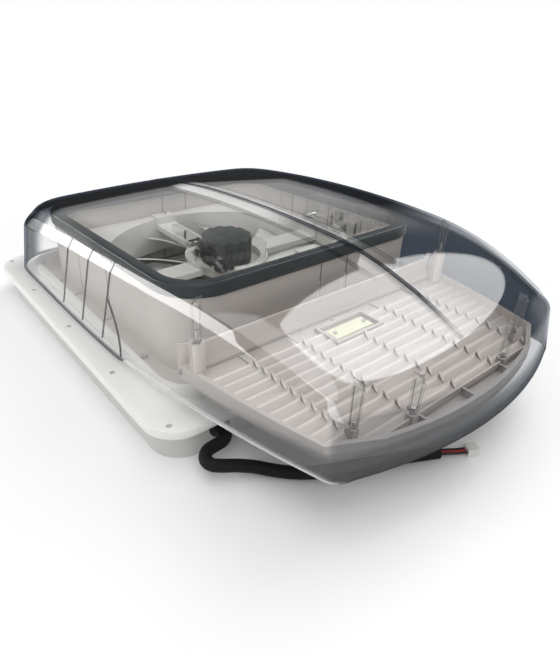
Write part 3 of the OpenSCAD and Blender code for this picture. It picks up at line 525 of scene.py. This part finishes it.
def sweep(path, profile, up=(0.0, 0.0, 1.0)):
    # a closed profile of (side, height) carried square to the path; side is level, height towards up
    path = np.asarray(path, float)
    ahead = unit(np.gradient(path, axis=0))
    side = unit(np.cross(ahead, up))
    rise = np.cross(side, ahead)
    return path[:, None] + profile[None, :, :1] * side[:, None] + profile[None, :, 1:] * rise[:, None]


def roundProfile(radius, sides):
    turn = circle(sides)
    return radius * np.stack([np.cos(turn), np.sin(turn)], -1)


def outward(loop):
    # square to the line between each point's neighbours
    ahead = np.roll(loop, -1, 0) - np.roll(loop, 1, 0)
    return unit(np.stack([ahead[:, 1], -ahead[:, 0]], -1))


def quarterTurn(k):
    a = k * np.pi / 2
    return np.array([[np.cos(a), np.sin(a)], [-np.sin(a), np.cos(a)]])


def blockProfile(width, height, corner, steps=4):
    # rounded rectangle about its middle, anticlockwise
    turn = np.linspace(0, np.pi / 2, steps)
    quarter = np.stack([np.cos(turn), np.sin(turn)], -1) * corner
    middle = np.array([width / 2 - corner, height / 2 - corner])
    signs = ((1, 1), (-1, 1), (-1, -1), (1, -1))
    return np.concatenate([quarter @ quarterTurn(k) + middle * sign for k, sign in enumerate(signs)])


def roundSquare(width, corner, count, steps=40):
    # closed rounded square, evenly spread, with its outward normals
    turn = np.linspace(0, np.pi / 2, steps)
    arc = np.stack([np.cos(turn), np.sin(turn)], -1) * corner + (width / 2 - corner)
    sides = [arc @ quarterTurn(k) for k in range(4)]
    loop = np.concatenate(sides + [sides[0][:1]])
    even = evenly(loop, count + 1)[:-1]
    return even, outward(even)


# wiring: black braided sleeve, three wires and a plug, seen end to end
harness = dict(
    start=(-150, -200, 0), radius=5.5, count=120, sides=20, threadLong=3.2, threadsRound=8.0,
    route=[[0, 4, 20], [0, -6, 20], [-2, -13, 20.5], [-8, -18, 21], [-16, -19, 21], [-25, -20, 20.5],
           [-31, -26, 19.5], [-30, -33, 18.5], [-23, -38, 17], [-12, -43, 14.5], [0, -50, 11.5],
           [11, -59, 8.5], [22, -68, 6.4], [36, -79, 6], [52, -88, 6], [72, -97, 6], [92, -106, 6],
           [112, -115, 6], [130, -124, 6], [142, -130, 6]],
    wires=[[139, -128.5, 6], [142, -130, 6], [150, -134.5, 5.5], [158, -139, 4.8], [166, -143, 4.4]],
    wireRadius=1.1, wireApart=(1.3, 2.2, 0.0), wireCount=24, wireSides=12, plugEdge=0.0005,
    strands=(("wireLeft", -1, "wireBlack", ()), ("wireMiddle", 0, "wireRed", ("harness_wires",)),
             ("wireRight", 1, "wireBlack", ())),
)


def buildHarness(h):
    start = np.array(h["start"], float)
    path = smoothPath(np.array(h["route"], float) + start, h["count"])
    run = lengthAlong(path)
    mesh = meshOf("harnessSleeve", capped(sweep(path, roundProfile(h["radius"], h["sides"]))))
    corner = np.zeros(len(mesh.loops), np.int32)
    mesh.loops.foreach_get("vertex_index", corner)
    along = run[corner // h["sides"]] / h["threadLong"]
    around = (corner % h["sides"]) / h["sides"] * h["threadsRound"]
    layer = mesh.uv_layers.new(name="sleeve")
    layer.data.foreach_set("uv", np.stack([along, around], -1).ravel().astype(np.float32))
    sleeve = placePiece("harnessSleeve", mesh, "sleeve", "base", ("harness_sleeve",))
    wire = roundProfile(h["wireRadius"], h["wireSides"])
    for name, side, finish, stands in h["strands"]:
        line = np.array(h["wires"], float) + start + side * np.array(h["wireApart"])
        parts = [capped(sweep(smoothPath(line, h["wireCount"]), wire))]
        makePiece(name, parts, finish, "base", stands)
    plug = dressedNode("harness_connector", "harnessPlug", "plug", "base", h["plugEdge"])


buildHarness(harness)


# lid: the same formulas as the solid, closer sampled and with rounded creases; pairs are where a thing
# starts to come in and where it is full
lid = dict(
    flangeTop=40, peak=105, peakY=-145, rearDrop=30, noseDrop=57, noseCurve=2.5, rear=190,
    reach=362, halfWidth=193, taper=45, taperFrom=100, taperCurve=3, bow=24, corner=45,
    noseCorner=16, crown=6, ridge=2.6, ridgeHalf=20, ridgeNose=(-255, -190),
    ridgeRear=(175, 35), bead=1.4, beadHalf=2, beadCurve=6, beadNose=(-325, -275),
    skirtEnd=-95, lipGap=6, lipRise=15, lipCurve=0.6, draft=7, bevel=24, wall=2.5, crease=3.5,
    sideCrease=12.5, join=14, bevelRise=10.6, bevelShare=0.66, dropMost=16, dropShare=0.3, rearFall=9.5,
    fall=(-200, 120), across=141, along=150, evenShare=0.14, shoulderRows=12, bevelRows=6, creaseRows=7,
    wallRows=18,
)
outline = dict(turn=30, rear=60, side=200, nose=80, loop=1600, soften=3.0, noseWeight=1.6)
cornerY = lid["bow"] - lid["reach"]
midY = (lid["rear"] - lid["reach"]) / 2
halfLength = (lid["rear"] + lid["reach"]) / 2


def lidEdge(y):
    # a peak less a squared fall to the rear and a steeper power's fall to the nose
    back = np.maximum(y - lid["peakY"], 0) / (lid["rear"] - lid["peakY"])
    front = np.maximum(lid["peakY"] - y, 0) / (lid["peakY"] + lid["reach"])
    fall = lid["rearDrop"] * back ** 2 + lid["noseDrop"] * front ** lid["noseCurve"]
    return lid["flangeTop"] + lid["peak"] - fall


def lidHalf(y):
    # half width less a cubic taper towards the nose
    share = np.maximum(lid["taperFrom"] - y, 0) / (lid["taperFrom"] - cornerY)
    return lid["halfWidth"] - lid["taper"] * share ** lid["taperCurve"]


def lidSkin(x, y):
    # a crowned skin with a low roof along its middle and a bead on the roof's peak, dying out at both ends
    roof = lid["ridge"] * np.maximum(1 - np.abs(x) / lid["ridgeHalf"], 0) * ramp(y, *lid["ridgeNose"])
    bead = np.exp(-np.abs(x / lid["beadHalf"]) ** lid["beadCurve"])
    bead = lid["bead"] * bead * ramp(y, *lid["beadNose"])
    crown = lid["crown"] * (1 - (x / lid["halfWidth"]) ** 2)
    return lidEdge(y) + crown + (roof + bead) * ramp(y, *lid["ridgeRear"])


def lidLip(y):
    # a set gap over the flange that widens along the overhang by a power below one
    share = np.maximum(lid["skirtEnd"] - y, 0) / (lid["skirtEnd"] + lid["reach"])
    return lid["flangeTop"] + lid["lipGap"] + lid["lipRise"] * share ** lid["lipCurve"]


def lidDrop(y):
    # the bevel takes a share of the wall's height, up to a limit
    return np.minimum(lid["dropMost"], lid["dropShare"] * (lidEdge(y) - lidLip(y)))


def sideFall(y):
    # the crease between bevel and side wall sinks towards the rear
    return lid["rearFall"] * ramp(y, *lid["fall"])


def drawnIn(p, d):
    # points of the outline moved in by d at the sides and the ends
    x = p[..., 0] * (1 - d / lid["halfWidth"])
    return np.stack([x, midY + (p[..., 1] - midY) * (1 - d / halfLength)], -1)


def lidUnder(x, y):
    # the skin less the bevel's fall near the edge and the wall's thickness
    inward = lid["halfWidth"] * (1 - np.abs(x) / lidHalf(y))
    return lidSkin(x, y) - ramp(inward, lid["bevel"], lid["draft"]) * lidDrop(y) - lid["wall"]


def lidSides(across, along):
    # outline: rear edge, round rear corners, tapering sides, small nose corners and bowed nose, softened
    o = outline
    half, corner, tipCorner = lid["halfWidth"], lid["corner"], lid["noseCorner"]
    turn = np.linspace(0, np.pi / 2, o["turn"])
    rear = np.stack([np.linspace(0, half - corner, o["rear"]), np.full(o["rear"], lid["rear"])], -1)
    arc = np.stack([half - corner + corner * np.sin(turn), lid["rear"] - corner + corner * np.cos(turn)], -1)
    y = np.linspace(lid["rear"] - corner, cornerY + tipCorner, o["side"])
    side = np.stack([lidHalf(y), y], -1)
    tip = side[-1, 0] - tipCorner
    nook = np.stack([tip + tipCorner * np.cos(turn), side[-1, 1] - tipCorner * np.sin(turn)], -1)
    x = np.linspace(tip, 0, o["nose"])
    nose = np.stack([x, cornerY - lid["bow"] * (1 - (x / tip) ** 2)], -1)
    half = np.concatenate([rear, arc[1:], side[1:], nook[1:], nose[1:]])
    loop = evenly(np.concatenate([half, half[-2::-1] * [-1, 1]]), o["loop"] + 1)[:-1]
    rate = np.fft.fftfreq(len(loop), 1.0)
    soft = np.exp(-2 * (np.pi * rate * o["soften"]) ** 2)[:, None]
    loop = np.real(np.fft.ifft(np.fft.fft(loop, axis=0) * soft, axis=0))
    a = int(np.argmax(loop[:, 0] + loop[:, 1]))  # corners of the blended patch
    b = int(np.argmax(loop[:, 0] - o["noseWeight"] * loop[:, 1]))
    n = len(loop)
    ring = np.concatenate([loop, loop])
    even = np.linspace(0, 1, along)
    return [spaced(ring[n - a:n + a + 1], across), spaced(ring[a:b + 1], even),
            spaced(ring[b:n - b + 1], across), spaced(ring[n - b:n - a + 1], even)]


def bend(first, middle, last, steps):
    # quadratic curve that rounds a crease, as rows of points
    t = np.linspace(0, 1, steps)[:, None, None]
    return (1 - t) ** 2 * first + 2 * t * (1 - t) * middle + t ** 2 * last


def lidSheets():
    # the skin, and the rows of points from its border over the shoulder and down the wall to the lip
    t = np.linspace(-1, 1, lid["across"])
    across = 0.5 + 0.5 * (lid["evenShare"] * t + (1 - lid["evenShare"]) * t ** 3)  # closest near the ridge
    sides = lidSides(across, lid["along"])
    loop = np.concatenate([s[:-1] for s in sides])
    out = outward(loop)
    out *= np.sign(np.sum(out * (loop - [0, midY])))
    aside = out[:, 0] ** 2
    inset = lid["bevel"] + lid["crease"] + lid["sideCrease"] * aside
    inner = drawnIn(loop, inset)
    ends = np.cumsum([0] + [len(s) - 1 for s in sides])
    spans = [np.arange(a, b + 1) % len(loop) for a, b in zip(ends[:-1], ends[1:])]
    rear, right, nose, left = [inner[span] for span in spans]
    u = across[:, None, None]
    v = np.linspace(0, 1, lid["along"])[None, :, None]
    # blended patch: the sum of the two ruled surfaces less the four-corner one
    ruled = (1 - v) * rear[:, None] + v * nose[::-1][:, None] + (1 - u) * left[::-1][None] + u * right[None]
    corners = (1 - u) * ((1 - v) * rear[0] + v * nose[-1]) + u * ((1 - v) * rear[-1] + v * nose[0])
    patch = ruled - corners
    skin = np.concatenate([patch, lidSkin(patch[..., :1], patch[..., 1:2])], -1)

    def at(d, z):
        return np.concatenate([drawnIn(loop, d), z[:, None]], -1)

    def step(a, b):
        # one crease's length from a towards b
        return a + unit(b - a) * lid["crease"]

    edge = drawnIn(loop, lid["bevel"])
    start = at(inset, lidSkin(inner[:, 0], inner[:, 1]))
    top = at(lid["bevel"], lidSkin(edge[:, 0], edge[:, 1]))
    drop = lidDrop(loop[:, 1]) + sideFall(loop[:, 1]) * aside
    low = at(lid["draft"], top[:, 2] - drop)
    full = at(lid["join"], low[:, 2] + np.minimum(lid["bevelRise"], lid["bevelShare"] * drop))
    foot = at(0.0, lidLip(loop[:, 1]))
    over = step(top, low) * (1 - aside[:, None]) + full * aside[:, None]
    before, after = step(low, over), step(low, foot)
    t = np.linspace(0, 1, lid["bevelRows"])[1:-1, None, None]
    w = np.linspace(0, 1, lid["wallRows"])[1:, None, None]
    strip = np.concatenate([
        bend(start, top, over, lid["shoulderRows"]),
        (1 - t) * over + t * before,
        bend(before, low, after, lid["creaseRows"]),
        (1 - w) * after + w * foot])
    return loop, out, skin, strip, start, low, foot


# how deep the lid's painted shade, painted highlights and pale matte lie, and where; facings run from 0 to 1,
# places are in mm
lidMarks = dict(
    zone=0.9, zoneRear=(90, 98), zoneSkew=0.5, zoneRight=(115, 121), zoneNose=(-230, -120),
    rim=1, rimRear=(0.1, 0.6), rimRight=(0.2, 0.7), rimNose=(-330, -60), rimLeast=0.2,
    rimTop=(0, 1.5), overCrease=(0, 2.5), belowCrease=(3, 0), corner=1, cornerFrom=(4, 18),
    cornerTo=(75, 55), wall=0.88, wallFacing=(0.3, 0.8), lip=0.34, lipLeast=0.25, lipBand=(20, 15),
    noseFacing=(0.35, 0.6), stripe=0.24, stripeBand=(9.5, 8), lowEdge=0.4, lowEdgeBand=(2.8, 1.8), left=0.6,
    leftNose=(-170, -300), foot=0.8, footLine=1.3, skirtRoom=8, fold=0.6, foldWide=1.3,
    foldNose=(-250, -220), bead=0.9, beadWide=2.6, beadNose=(-320, -280), beadRear=(130, 105),
    sheenLeft=0.6, sheenRight=0.2, sheenAt=10.5, sheenHalf=8.2, sheenNose=(-125, -75),
    sheenRear=(100, 70), milk=0.09, edgeHighlight=0.95, edgeHighlightHigh=1.4,
)


def paintedShadeZone(x, y):
    # painted shade: the tint deepened behind a line across the rear and outside a line along the right
    m = lidMarks
    behind = ramp(y + m["zoneSkew"] * np.maximum(x, 0), *m["zoneRear"])
    outside = ramp(x, *m["zoneRight"]) * ramp(y, *m["zoneNose"])
    return m["zone"] * np.maximum(behind, outside)


def markedSkin(skin):
    # painted shade along the bead and the ridge's folds; a pale painted highlight band on the ridge's left
    # slope, fainter on its right
    m = lidMarks
    x, y = skin[..., 0], skin[..., 1]
    gap = np.abs(x)
    fold = m["fold"] * np.exp(-((gap - lid["ridgeHalf"]) / m["foldWide"]) ** 2) * ramp(y, *m["foldNose"])
    bead = m["bead"] * np.exp(-(gap / m["beadWide"]) ** 4) * ramp(y, *m["beadNose"])
    depth = np.maximum(bead, fold) * ramp(y, *m["beadRear"])
    paleMatte = np.exp(-((gap - m["sheenAt"]) / m["sheenHalf"]) ** 8) * ramp(y, *m["sheenNose"])
    paleMatte = paleMatte * ramp(y, *m["sheenRear"]) * np.where(x < 0, m["sheenLeft"], m["sheenRight"])
    return depth, paintedShadeZone(x, y), np.zeros(x.shape), paleMatte


def markedStrip(loop, out, strip, start, low, foot):
    # painted shade on the rear and right shoulder, at the rear corners, on the right wall, in the nose's lip
    # and along the skirt's foot
    m = lidMarks
    y, high = loop[:, 1], strip[..., 2]
    overCrease = ramp(high - low[:, 2], *m["overCrease"])
    below = ramp(high - low[:, 2], *m["belowCrease"])
    above = high - foot[:, 2]
    rear = ramp(out[:, 1], *m["rimRear"])
    right = ramp(out[:, 0], *m["rimRight"]) * np.maximum(ramp(y, *m["rimNose"]), m["rimLeast"])
    rim = m["rim"] * np.maximum(rear, right) * ramp(start[:, 2] - high, *m["rimTop"]) * overCrease
    lean = np.degrees(np.arctan2(out[:, 1], np.abs(out[:, 0])))
    corner = m["corner"] * ramp(lean, *m["cornerFrom"]) * ramp(lean, *m["cornerTo"]) * below
    wall = m["wall"] * ramp(out[:, 0], *m["wallFacing"]) * below
    ahead = ramp(-out[:, 1], *m["noseFacing"])
    leftFacing = ramp(-out[:, 0], *m["wallFacing"])
    left = leftFacing * ramp(y, *m["leftNose"])
    lowBand = ramp(above, *m["lipBand"])
    lip = np.maximum(ahead * below * (m["lipLeast"] + m["lip"] * lowBand), m["left"] * left * lowBand)
    # painted shade in the nose's lip, in two tones, with a dark lowest edge
    stripe = m["stripe"] * ramp(above, *m["stripeBand"]) + m["lowEdge"] * ramp(above, *m["lowEdgeBand"])
    lip = np.minimum(lip + ahead * below * stripe, 1.0)
    skirt = y > lid["skirtEnd"] - m["skirtRoom"]
    line = m["foot"] * (above < m["footLine"]) * skirt
    depth = np.max([rim, corner, lip, line], axis=0)
    # a little pale matte in the lip band and a painted highlight line along the overhang's left edge
    edgeHighlight = m["edgeHighlight"] * leftFacing * ~skirt * (above < m["edgeHighlightHigh"])
    paleMatte = np.maximum(m["milk"] * np.maximum(ahead, left) * lowBand, edgeHighlight)
    return depth, paintedShadeZone(strip[..., 0], strip[..., 1]) * overCrease, wall, paleMatte


def buildLid():
    loop, out, skin, strip, start, low, foot = lidSheets()
    pairs = zip(markedSkin(skin), markedStrip(loop, out, strip, start, low, foot))
    labels = ("paintedShadeDepth", "slantShadeDepth", "sideShadeDepth", "paleMatte")
    marks = {label: np.concatenate([a.ravel(), b.ravel()]) for label, (a, b) in zip(labels, pairs)}
    parts = [surface(skin), surface(strip, wrapColumns=True)]
    piece = makePiece("lidShell", parts, "lid", "lid", ("lid_shell",), marks)
    faces = piece.data.polygons
    normals = np.zeros(len(faces) * 3, np.float32)
    areas = np.zeros(len(faces), np.float32)
    faces.foreach_get("normal", normals)
    faces.foreach_get("area", areas)
    if normals[2::3] @ areas < 0:  # the sheet has to face up
        piece.data.flip_normals()
    wall = piece.modifiers.new("wall", "SOLIDIFY")
    wall.thickness, wall.offset, wall.use_even_offset = lid["wall"] * 0.001, -1.0, True


buildLid()
print("lid made")

# ribs inside the lid's side walls, and an arc from the foremost one
ribForm = dict(
    at=(16, -32, -76), thick=1.0, deep=1.6, edge=0.3, sunk=0.3, lean=20.0, foot=0.06, head=1.9, wallRows=14,
    bevelRows=8, arcTop=(-69, 0.66), arcFoot=(-93, 0.02), arcThick=1.5, arcRows=24,
)


def wallInside(y, share):
    # inner face of the side wall: share 0 to 1 climbs from the lip to the crease, 1 to 2 up the bevel
    low = lidSkin(lid["halfWidth"] - lid["bevel"], y) - lidDrop(y) - sideFall(y)
    lip = lidLip(y)
    rise = np.minimum(lid["bevelRise"], lid["bevelShare"] * (lidDrop(y) + sideFall(y)))
    wall, slope = np.clip(share, 0, 1), np.clip(share - 1, 0, 1)
    inset = lid["draft"] * wall + (lid["join"] - lid["draft"]) * slope
    x = lidHalf(y) * (1 - inset / lid["halfWidth"]) - lid["wall"] - ribForm["deep"] / 2 + ribForm["sunk"]
    return x, lip + (low - lip) * wall + rise * slope


def buildLidRibs(r):
    wall = np.linspace(r["foot"], 1, r["wallRows"])
    share = np.concatenate([wall, np.linspace(1, r["head"], r["bevelRows"])[1:]])
    lines = [(y + r["lean"] * np.clip(1 - share, 0, 1), share, r["thick"]) for y in r["at"]]
    # the arc leaves the foremost rib and bends forward down to the lip
    s = np.linspace(0, 1, r["arcRows"])
    arcY = r["arcTop"][0] + (r["arcFoot"][0] - r["arcTop"][0]) * (1 - (1 - s) ** 2)
    arcShare = r["arcTop"][1] + (r["arcFoot"][1] - r["arcTop"][1]) * s
    lines.append((arcY, arcShare, r["arcThick"]))
    parts = []
    for side in (-1, 1):
        for y, climb, thick in lines:
            x, z = wallInside(y, climb)
            section = blockProfile(thick, r["deep"], r["edge"])
            parts.append(capped(sweep(np.stack([side * x, y, z], -1), section, (side, 0.0, 0.0))))
    makePiece("lidRibs", parts, "rib", "lid")


buildLidRibs(ribForm)

# clear posts: a round core with four fins between the lid and the louvre plate; x, y and foot of each pair
postForm = dict(
    rearPosts=((162, -188, 104.0),), nosePosts=((64, -330, 78.2), (112, -314, 78.2)), core=3.4, fin=5.6,
    finTurn=0.16, footScale=0.82, sunk=0.6, sides=96, rows=12,
)


def buildPosts(p):
    turn = circle(p["sides"])
    # section: a round core that swells into four narrow fins
    offFin = np.abs((turn + np.pi / 4) % (np.pi / 2) - np.pi / 4)
    radius = p["core"] + (p["fin"] - p["core"]) * np.exp(-(offFin / p["finTurn"]) ** 4)
    ring = np.stack([radius * np.cos(turn), radius * np.sin(turn)], -1)
    rise = np.linspace(0, 1, p["rows"])[:, None]

    def post(x, y, foot):
        spot = ring[None] * (p["footScale"] + (1 - p["footScale"]) * rise[..., None]) + [x, y]
        top = lidUnder(spot[-1, :, 0], spot[-1, :, 1]) + p["sunk"]  # the head follows the lid's slope
        return capped(np.concatenate([spot, (foot + (top[None] - foot) * rise)[..., None]], -1))

    for name in ("rearPosts", "nosePosts"):
        parts = [post(side * x, y, foot) for side in (-1, 1) for x, y, foot in p[name]]
        makePiece(name, parts, "clear", "lid", ("lid_posts",))


buildPosts(postForm)

# rim seal: a rubber section with a rounded crown and grooved sides, carried round the sloping rim
sealForm = dict(
    width=323.0, corner=47.5, thick=12.0, tall=14.0, edge=2.4, edgeSteps=7, groove=0.9, grooveAt=-1.5,
    grooveWide=1.1, base=112.0, tilt=3.0, count=320,
)


def tilted(points, base, tilt):
    # turned about X by the rim's slope and lifted to the rim
    a = np.radians(-tilt)
    y = points[..., 1] * np.cos(a) - points[..., 2] * np.sin(a)
    z = points[..., 1] * np.sin(a) + points[..., 2] * np.cos(a) + base
    return np.stack([points[..., 0], y, z], -1)


def buildSeal(s):
    loop, out = roundSquare(s["width"] - s["thick"], s["corner"] - s["thick"] / 2, s["count"])
    section = blockProfile(s["thick"], s["tall"], s["edge"], s["edgeSteps"])
    groove = s["groove"] * np.exp(-((section[:, 1] - s["grooveAt"]) / s["grooveWide"]) ** 2)
    inward = np.stack([groove * np.sign(section[:, 0]), np.zeros(len(groove))], -1)
    section = section - inward + [0, s["tall"] / 2]
    side = loop[:, None] + out[:, None] * section[None, :, :1]
    high = np.broadcast_to(section[None, :, 1:], side.shape[:2] + (1,))
    points = tilted(np.concatenate([side, high], -1), s["base"], s["tilt"])
    makePiece("rimSeal", [surface(points, True, True)], "seal", "base", ("rim_seal",))


buildSeal(sealForm)


def turnedForm(radius, height, turn):
    # rings about Z: each row's radius and height carried round the turn
    high = np.broadcast_to(height[:, None], (len(height), len(turn)))
    return np.stack([radius * np.cos(turn), radius * np.sin(turn), high], -1)


# motor cap: a round cap whose side is scalloped by twelve finger grooves
capForm = dict(
    radius=30.0, top=99.0, bottom=67.0, footInset=3.0, grooveFoot=71.0, grooveFrom=1.5, grooveRise=2.0,
    grooveTop=(22.0, 28.0), grooves=12, depth=2.6, grooveCurve=0.7, edge=2.4, edgeSteps=8, flatTo=4.0,
    footRows=3, grooveRows=5, sides=240,
)


def buildCap(c):
    turn = circle(c["sides"])
    e, n, full = c["edge"], c["edgeSteps"], c["radius"]
    curl = np.linspace(0, np.pi / 2, n)
    upright = np.full(c["footRows"] + c["grooveRows"], full)
    radius = np.concatenate([[full - c["footInset"]], upright, full - e + e * np.cos(curl),
                             np.linspace(full - e, c["flatTo"], n)[1:], [0.0]])
    height = np.concatenate([[c["bottom"]], np.linspace(c["bottom"], c["grooveFoot"], c["footRows"]),
                             np.linspace(c["grooveFoot"] + c["grooveFrom"], c["top"] - e, c["grooveRows"]),
                             c["top"] - e + e * np.sin(curl), np.full(n, c["top"])])
    share = ramp(height - c["grooveFoot"], 0.0, c["grooveRise"]) * ramp(radius, *c["grooveTop"])
    groove = np.maximum(np.cos(c["grooves"] * turn), 0) ** c["grooveCurve"]
    grid = turnedForm(radius[:, None] - c["depth"] * share[:, None] * groove[None], height, turn)
    makePiece("motorCap", [surface(grid, wrapColumns=True)], "slate", "base", ("motor_cap",))


buildCap(capForm)

# fan: ten twisted blades on a hollow hub with a rounded top edge
fanForm = dict(
    blades=10, tip=138.0, rootPitch=36.0, tipPitch=22.0, rootChord=28.0, widening=36.0, wideTurn=0.6,
    thick=2.4, thinning=0.4, camber=2.4, sweepBack=12.0, turned=11.0, sunk=1.5, rows=28, section=36,
    hubRadius=33.0, hubInside=30.0, hubTop=58.0, hubBottom=38.0, hubCeiling=54.0, hubEdge=3.0, hubFlat=20.0,
    boss=7.0, bore=3.2, edgeSteps=6, hubSides=120,
)


def buildFan(f):
    r = np.linspace(f["hubRadius"] - f["sunk"], f["tip"], f["rows"])[:, None]
    share = (r - r[0]) / (r[-1] - r[0])
    pitch = np.radians(f["rootPitch"] + (f["tipPitch"] - f["rootPitch"]) * share)
    chord = f["rootChord"] + f["widening"] * np.sin(share * np.pi * f["wideTurn"])
    loop = circle(f["section"])[None]
    # section: a thin cambered oval across the chord, turned by the pitch and swept back towards the tip
    c = 0.5 * np.cos(loop) * chord
    h = 0.5 * f["thick"] * np.sin(loop) * (1 - f["thinning"] * share)
    h = h + f["camber"] * (np.sin(loop) ** 2 - 0.5)
    across = c * np.cos(pitch) - h * np.sin(pitch)
    high = (f["hubTop"] + f["hubBottom"]) / 2 + c * np.sin(pitch) + h * np.cos(pitch)
    lean = np.radians(f["sweepBack"]) * share ** 2 + across / r + np.radians(f["turned"])
    turns = lean + np.arange(f["blades"])[:, None, None] * fullTurn / f["blades"]
    parts = [capped(np.stack([r * np.cos(turn), r * np.sin(turn), high], -1)) for turn in turns]
    e, full, inside, top, bottom = f["hubEdge"], f["hubRadius"], f["hubInside"], f["hubTop"], f["hubBottom"]
    ceiling, boss, bore = f["hubCeiling"], f["boss"], f["bore"]
    curl = np.linspace(0, np.pi / 2, f["edgeSteps"])
    # hub: from the bore out under the boss, the hollow and the skirt, then over the top back to the bore
    radius = np.concatenate([[bore, boss, boss, inside, inside, full, full], full - e + e * np.cos(curl),
                             [f["hubFlat"], bore, bore]])
    height = np.concatenate([[bottom, bottom, ceiling, ceiling, bottom, bottom, ceiling],
                             top - e + e * np.sin(curl), [top, top, bottom]])
    parts.append(surface(turnedForm(radius[:, None], height, circle(f["hubSides"])), wrapColumns=True))
    makePiece("fanRotor", parts, "blade", "fan", ("fan_rotor",))


buildFan(fanForm)
print("moulded pieces made")

# the other nodes keep their own shape: node, finish, body and width of the broken edges in metres
dressed = [
    ("roof_flange", "white", "base", 0.0008),
    ("ceiling_trim", "trim", "base", 0.0008),
    ("duct_box", "grey", "base", 0.0006),
    ("fan_shroud", "pale", "base", 0.0006),
    ("motor_spider", "pale", "base", 0.0008),
    ("louvre_plate", "louvre", "lid", 0.0003),
    ("lift_gearbox", "pale", "base", 0.0006),
    ("shaft_bearings", "pale", "base", 0.0005),
    ("lift_arm_left", "faint", "lift", 0.0005),
    ("lift_arm_right", "faint", "lift", 0.0005),
    ("track_left", "pad", "lid", 0.0004),
    ("track_right", "pad", "lid", 0.0004),
    ("hinge_brackets", "grey", "base", 0.0005),
    ("lid_knuckles", "clear", "lid", 0.0005),
    ("rain_sensor", "strip", "lid", 0.0004),
    ("screen_frame", "white", "base", 0.0006),
]
for node, finish, body, width in dressed:
    words = node.title().replace("_", "")
    dressedNode(node, words[0].lower() + words[1:], finish, body, width)

# nodes shown as they are, with a finish
plain = dict(
    roof_gasket="gasket", trim_screws="steel", screen_mesh="screen", screen_button_front="white",
    screen_button_rear="white", screen_button_left="white", screen_button_right="white", keypad="keys",
    circuit_board="board", box_screws="steel", spider_screws="steel", fan_motor="steel", fan_shaft="steel",
    fan_nut="steel", lift_shaft="steel", arm_pins="steel", hinge_pins="steel", post_screws="steel",
    sensor_screws="steel", cable_grommet="gasket",
)
for node, finish in plain.items():
    mesh = nodes[node].data
    mesh.materials.clear()
    mesh.materials.append(finishes[finish])
print("nodes dressed")

# studio: white floor, dim ceiling with a bright horizon, and four soft panels
skyForm = dict(ceiling=0.12, seenHorizon=1.0, seenRise=(0.18, 0.42), litHorizon=0.6, litRise=(0.02, 0.14))
floorForm = dict(
    size=60.0, colour=(0.94, 0.94, 0.94, 1), grainTone=0.99, grain=240.0, grainDetail=4.0, rough=0.9,
    white=(1.0, 1.0, 1.0, 1.0), whiteFrom=(0.34, 0.60),
)
panels = [
    dict(name="nosePanel", shape="DISK", size=(1.27, 1.27), place=(1215, -25, 1400), aim=(-40, -290, 130),
         along=(1.0, 0.0, 0.0), radiance=3.6),
    dict(name="shoulderPanel", shape="ELLIPSE", size=(2.5, 0.42), place=(-1300, 980, 530),
         aim=(-178, -90, 125), along=(-0.498, -0.813, 0.302), radiance=5.0),
    dict(name="frontPanel", shape="RECTANGLE", size=(1.7, 1.3), place=(-850, -1350, 1650),
         aim=(0, -100, 60), along=(0.85, -0.53, 0.0), radiance=2.4),
    dict(name="topPanel", shape="RECTANGLE", size=(2.4, 2.4), place=(-100, -150, 2200), aim=(0, 0, 0),
         along=(1.0, 0.0, 0.0), radiance=1.4),
]


def buildSky(s):
    # the sky that is seen or mirrored has a higher bright band than the sky that lights
    world = bpy.data.worlds.new("studioSky")
    bpy.context.scene.world = world
    sky = Finish("studioSky", world)
    up = sky.parts(sky.node("ShaderNodeTexCoord"))[2]
    bright = sky.spread(up, *s["seenRise"], s["seenHorizon"], s["ceiling"])
    dim = sky.spread(up, *s["litRise"], s["litHorizon"], s["ceiling"])
    level = dim + (bright - dim) * sky.seenDirect()
    glow = sky.node("ShaderNodeCombineColor", None, {0: level, 1: level, 2: level})
    light = sky.node("ShaderNodeBackground", None, {"Color": glow})
    sky.node("ShaderNodeOutputWorld", None, {"Surface": light})


def buildFloor(s):
    # paper that keeps the shadow round the part and turns to plain white further off
    half = s["size"] / 2
    corners = [(-half, -half, 0), (half, -half, 0), (half, half, 0), (-half, half, 0)]
    mesh = bpy.data.meshes.new("studioFloor")
    mesh.from_pydata(corners, [], [(0, 1, 2, 3)])
    f = Finish("floorPaper")
    place = f.objectPlace()
    grain = f.noise(place, s["grain"], s["grainDetail"])
    shade = f.between(grain, s["colour"], tinted(s["colour"], s["grainTone"]))
    paper = f.surface({"Base Color": shade, "Roughness": s["rough"]})
    white = f.node("ShaderNodeEmission", None, {"Color": s["white"], "Strength": 1.0})
    away = f.node("ShaderNodeVectorMath", {"operation": "LENGTH"}, {0: place}, output=1)
    share = f.node("ShaderNodeMath", {"operation": "MULTIPLY", "use_clamp": True},
                   {0: f.seenDirect(), 1: f.spread(away, *s["whiteFrom"], 0.0, 1.0)})
    mesh.materials.append(f.close(f.mixed(share, paper, white)))
    floor = bpy.data.objects.new("studioFloor", mesh)
    show(floor)


def buildPanel(p):
    data = bpy.data.lights.new(p["name"], "AREA")
    data.shape = p["shape"]
    data.size, data.size_y = p["size"]
    area = p["size"][0] * p["size"][1] * (1.0 if p["shape"] == "RECTANGLE" else np.pi / 4)
    data.energy = p["radiance"] * np.pi * area
    back = unit(metres(p["place"]) - metres(p["aim"]))
    along = np.array(p["along"])
    along = unit(along - back * (along @ back))
    stand(bpy.data.objects.new(p["name"], data), (along, np.cross(back, along), back), p["place"])


bpy.context.scene.view_settings.view_transform = "Standard"
buildSky(skyForm)
buildFloor(floorForm)
for panel in panels:
    buildPanel(panel)
print("studio set")
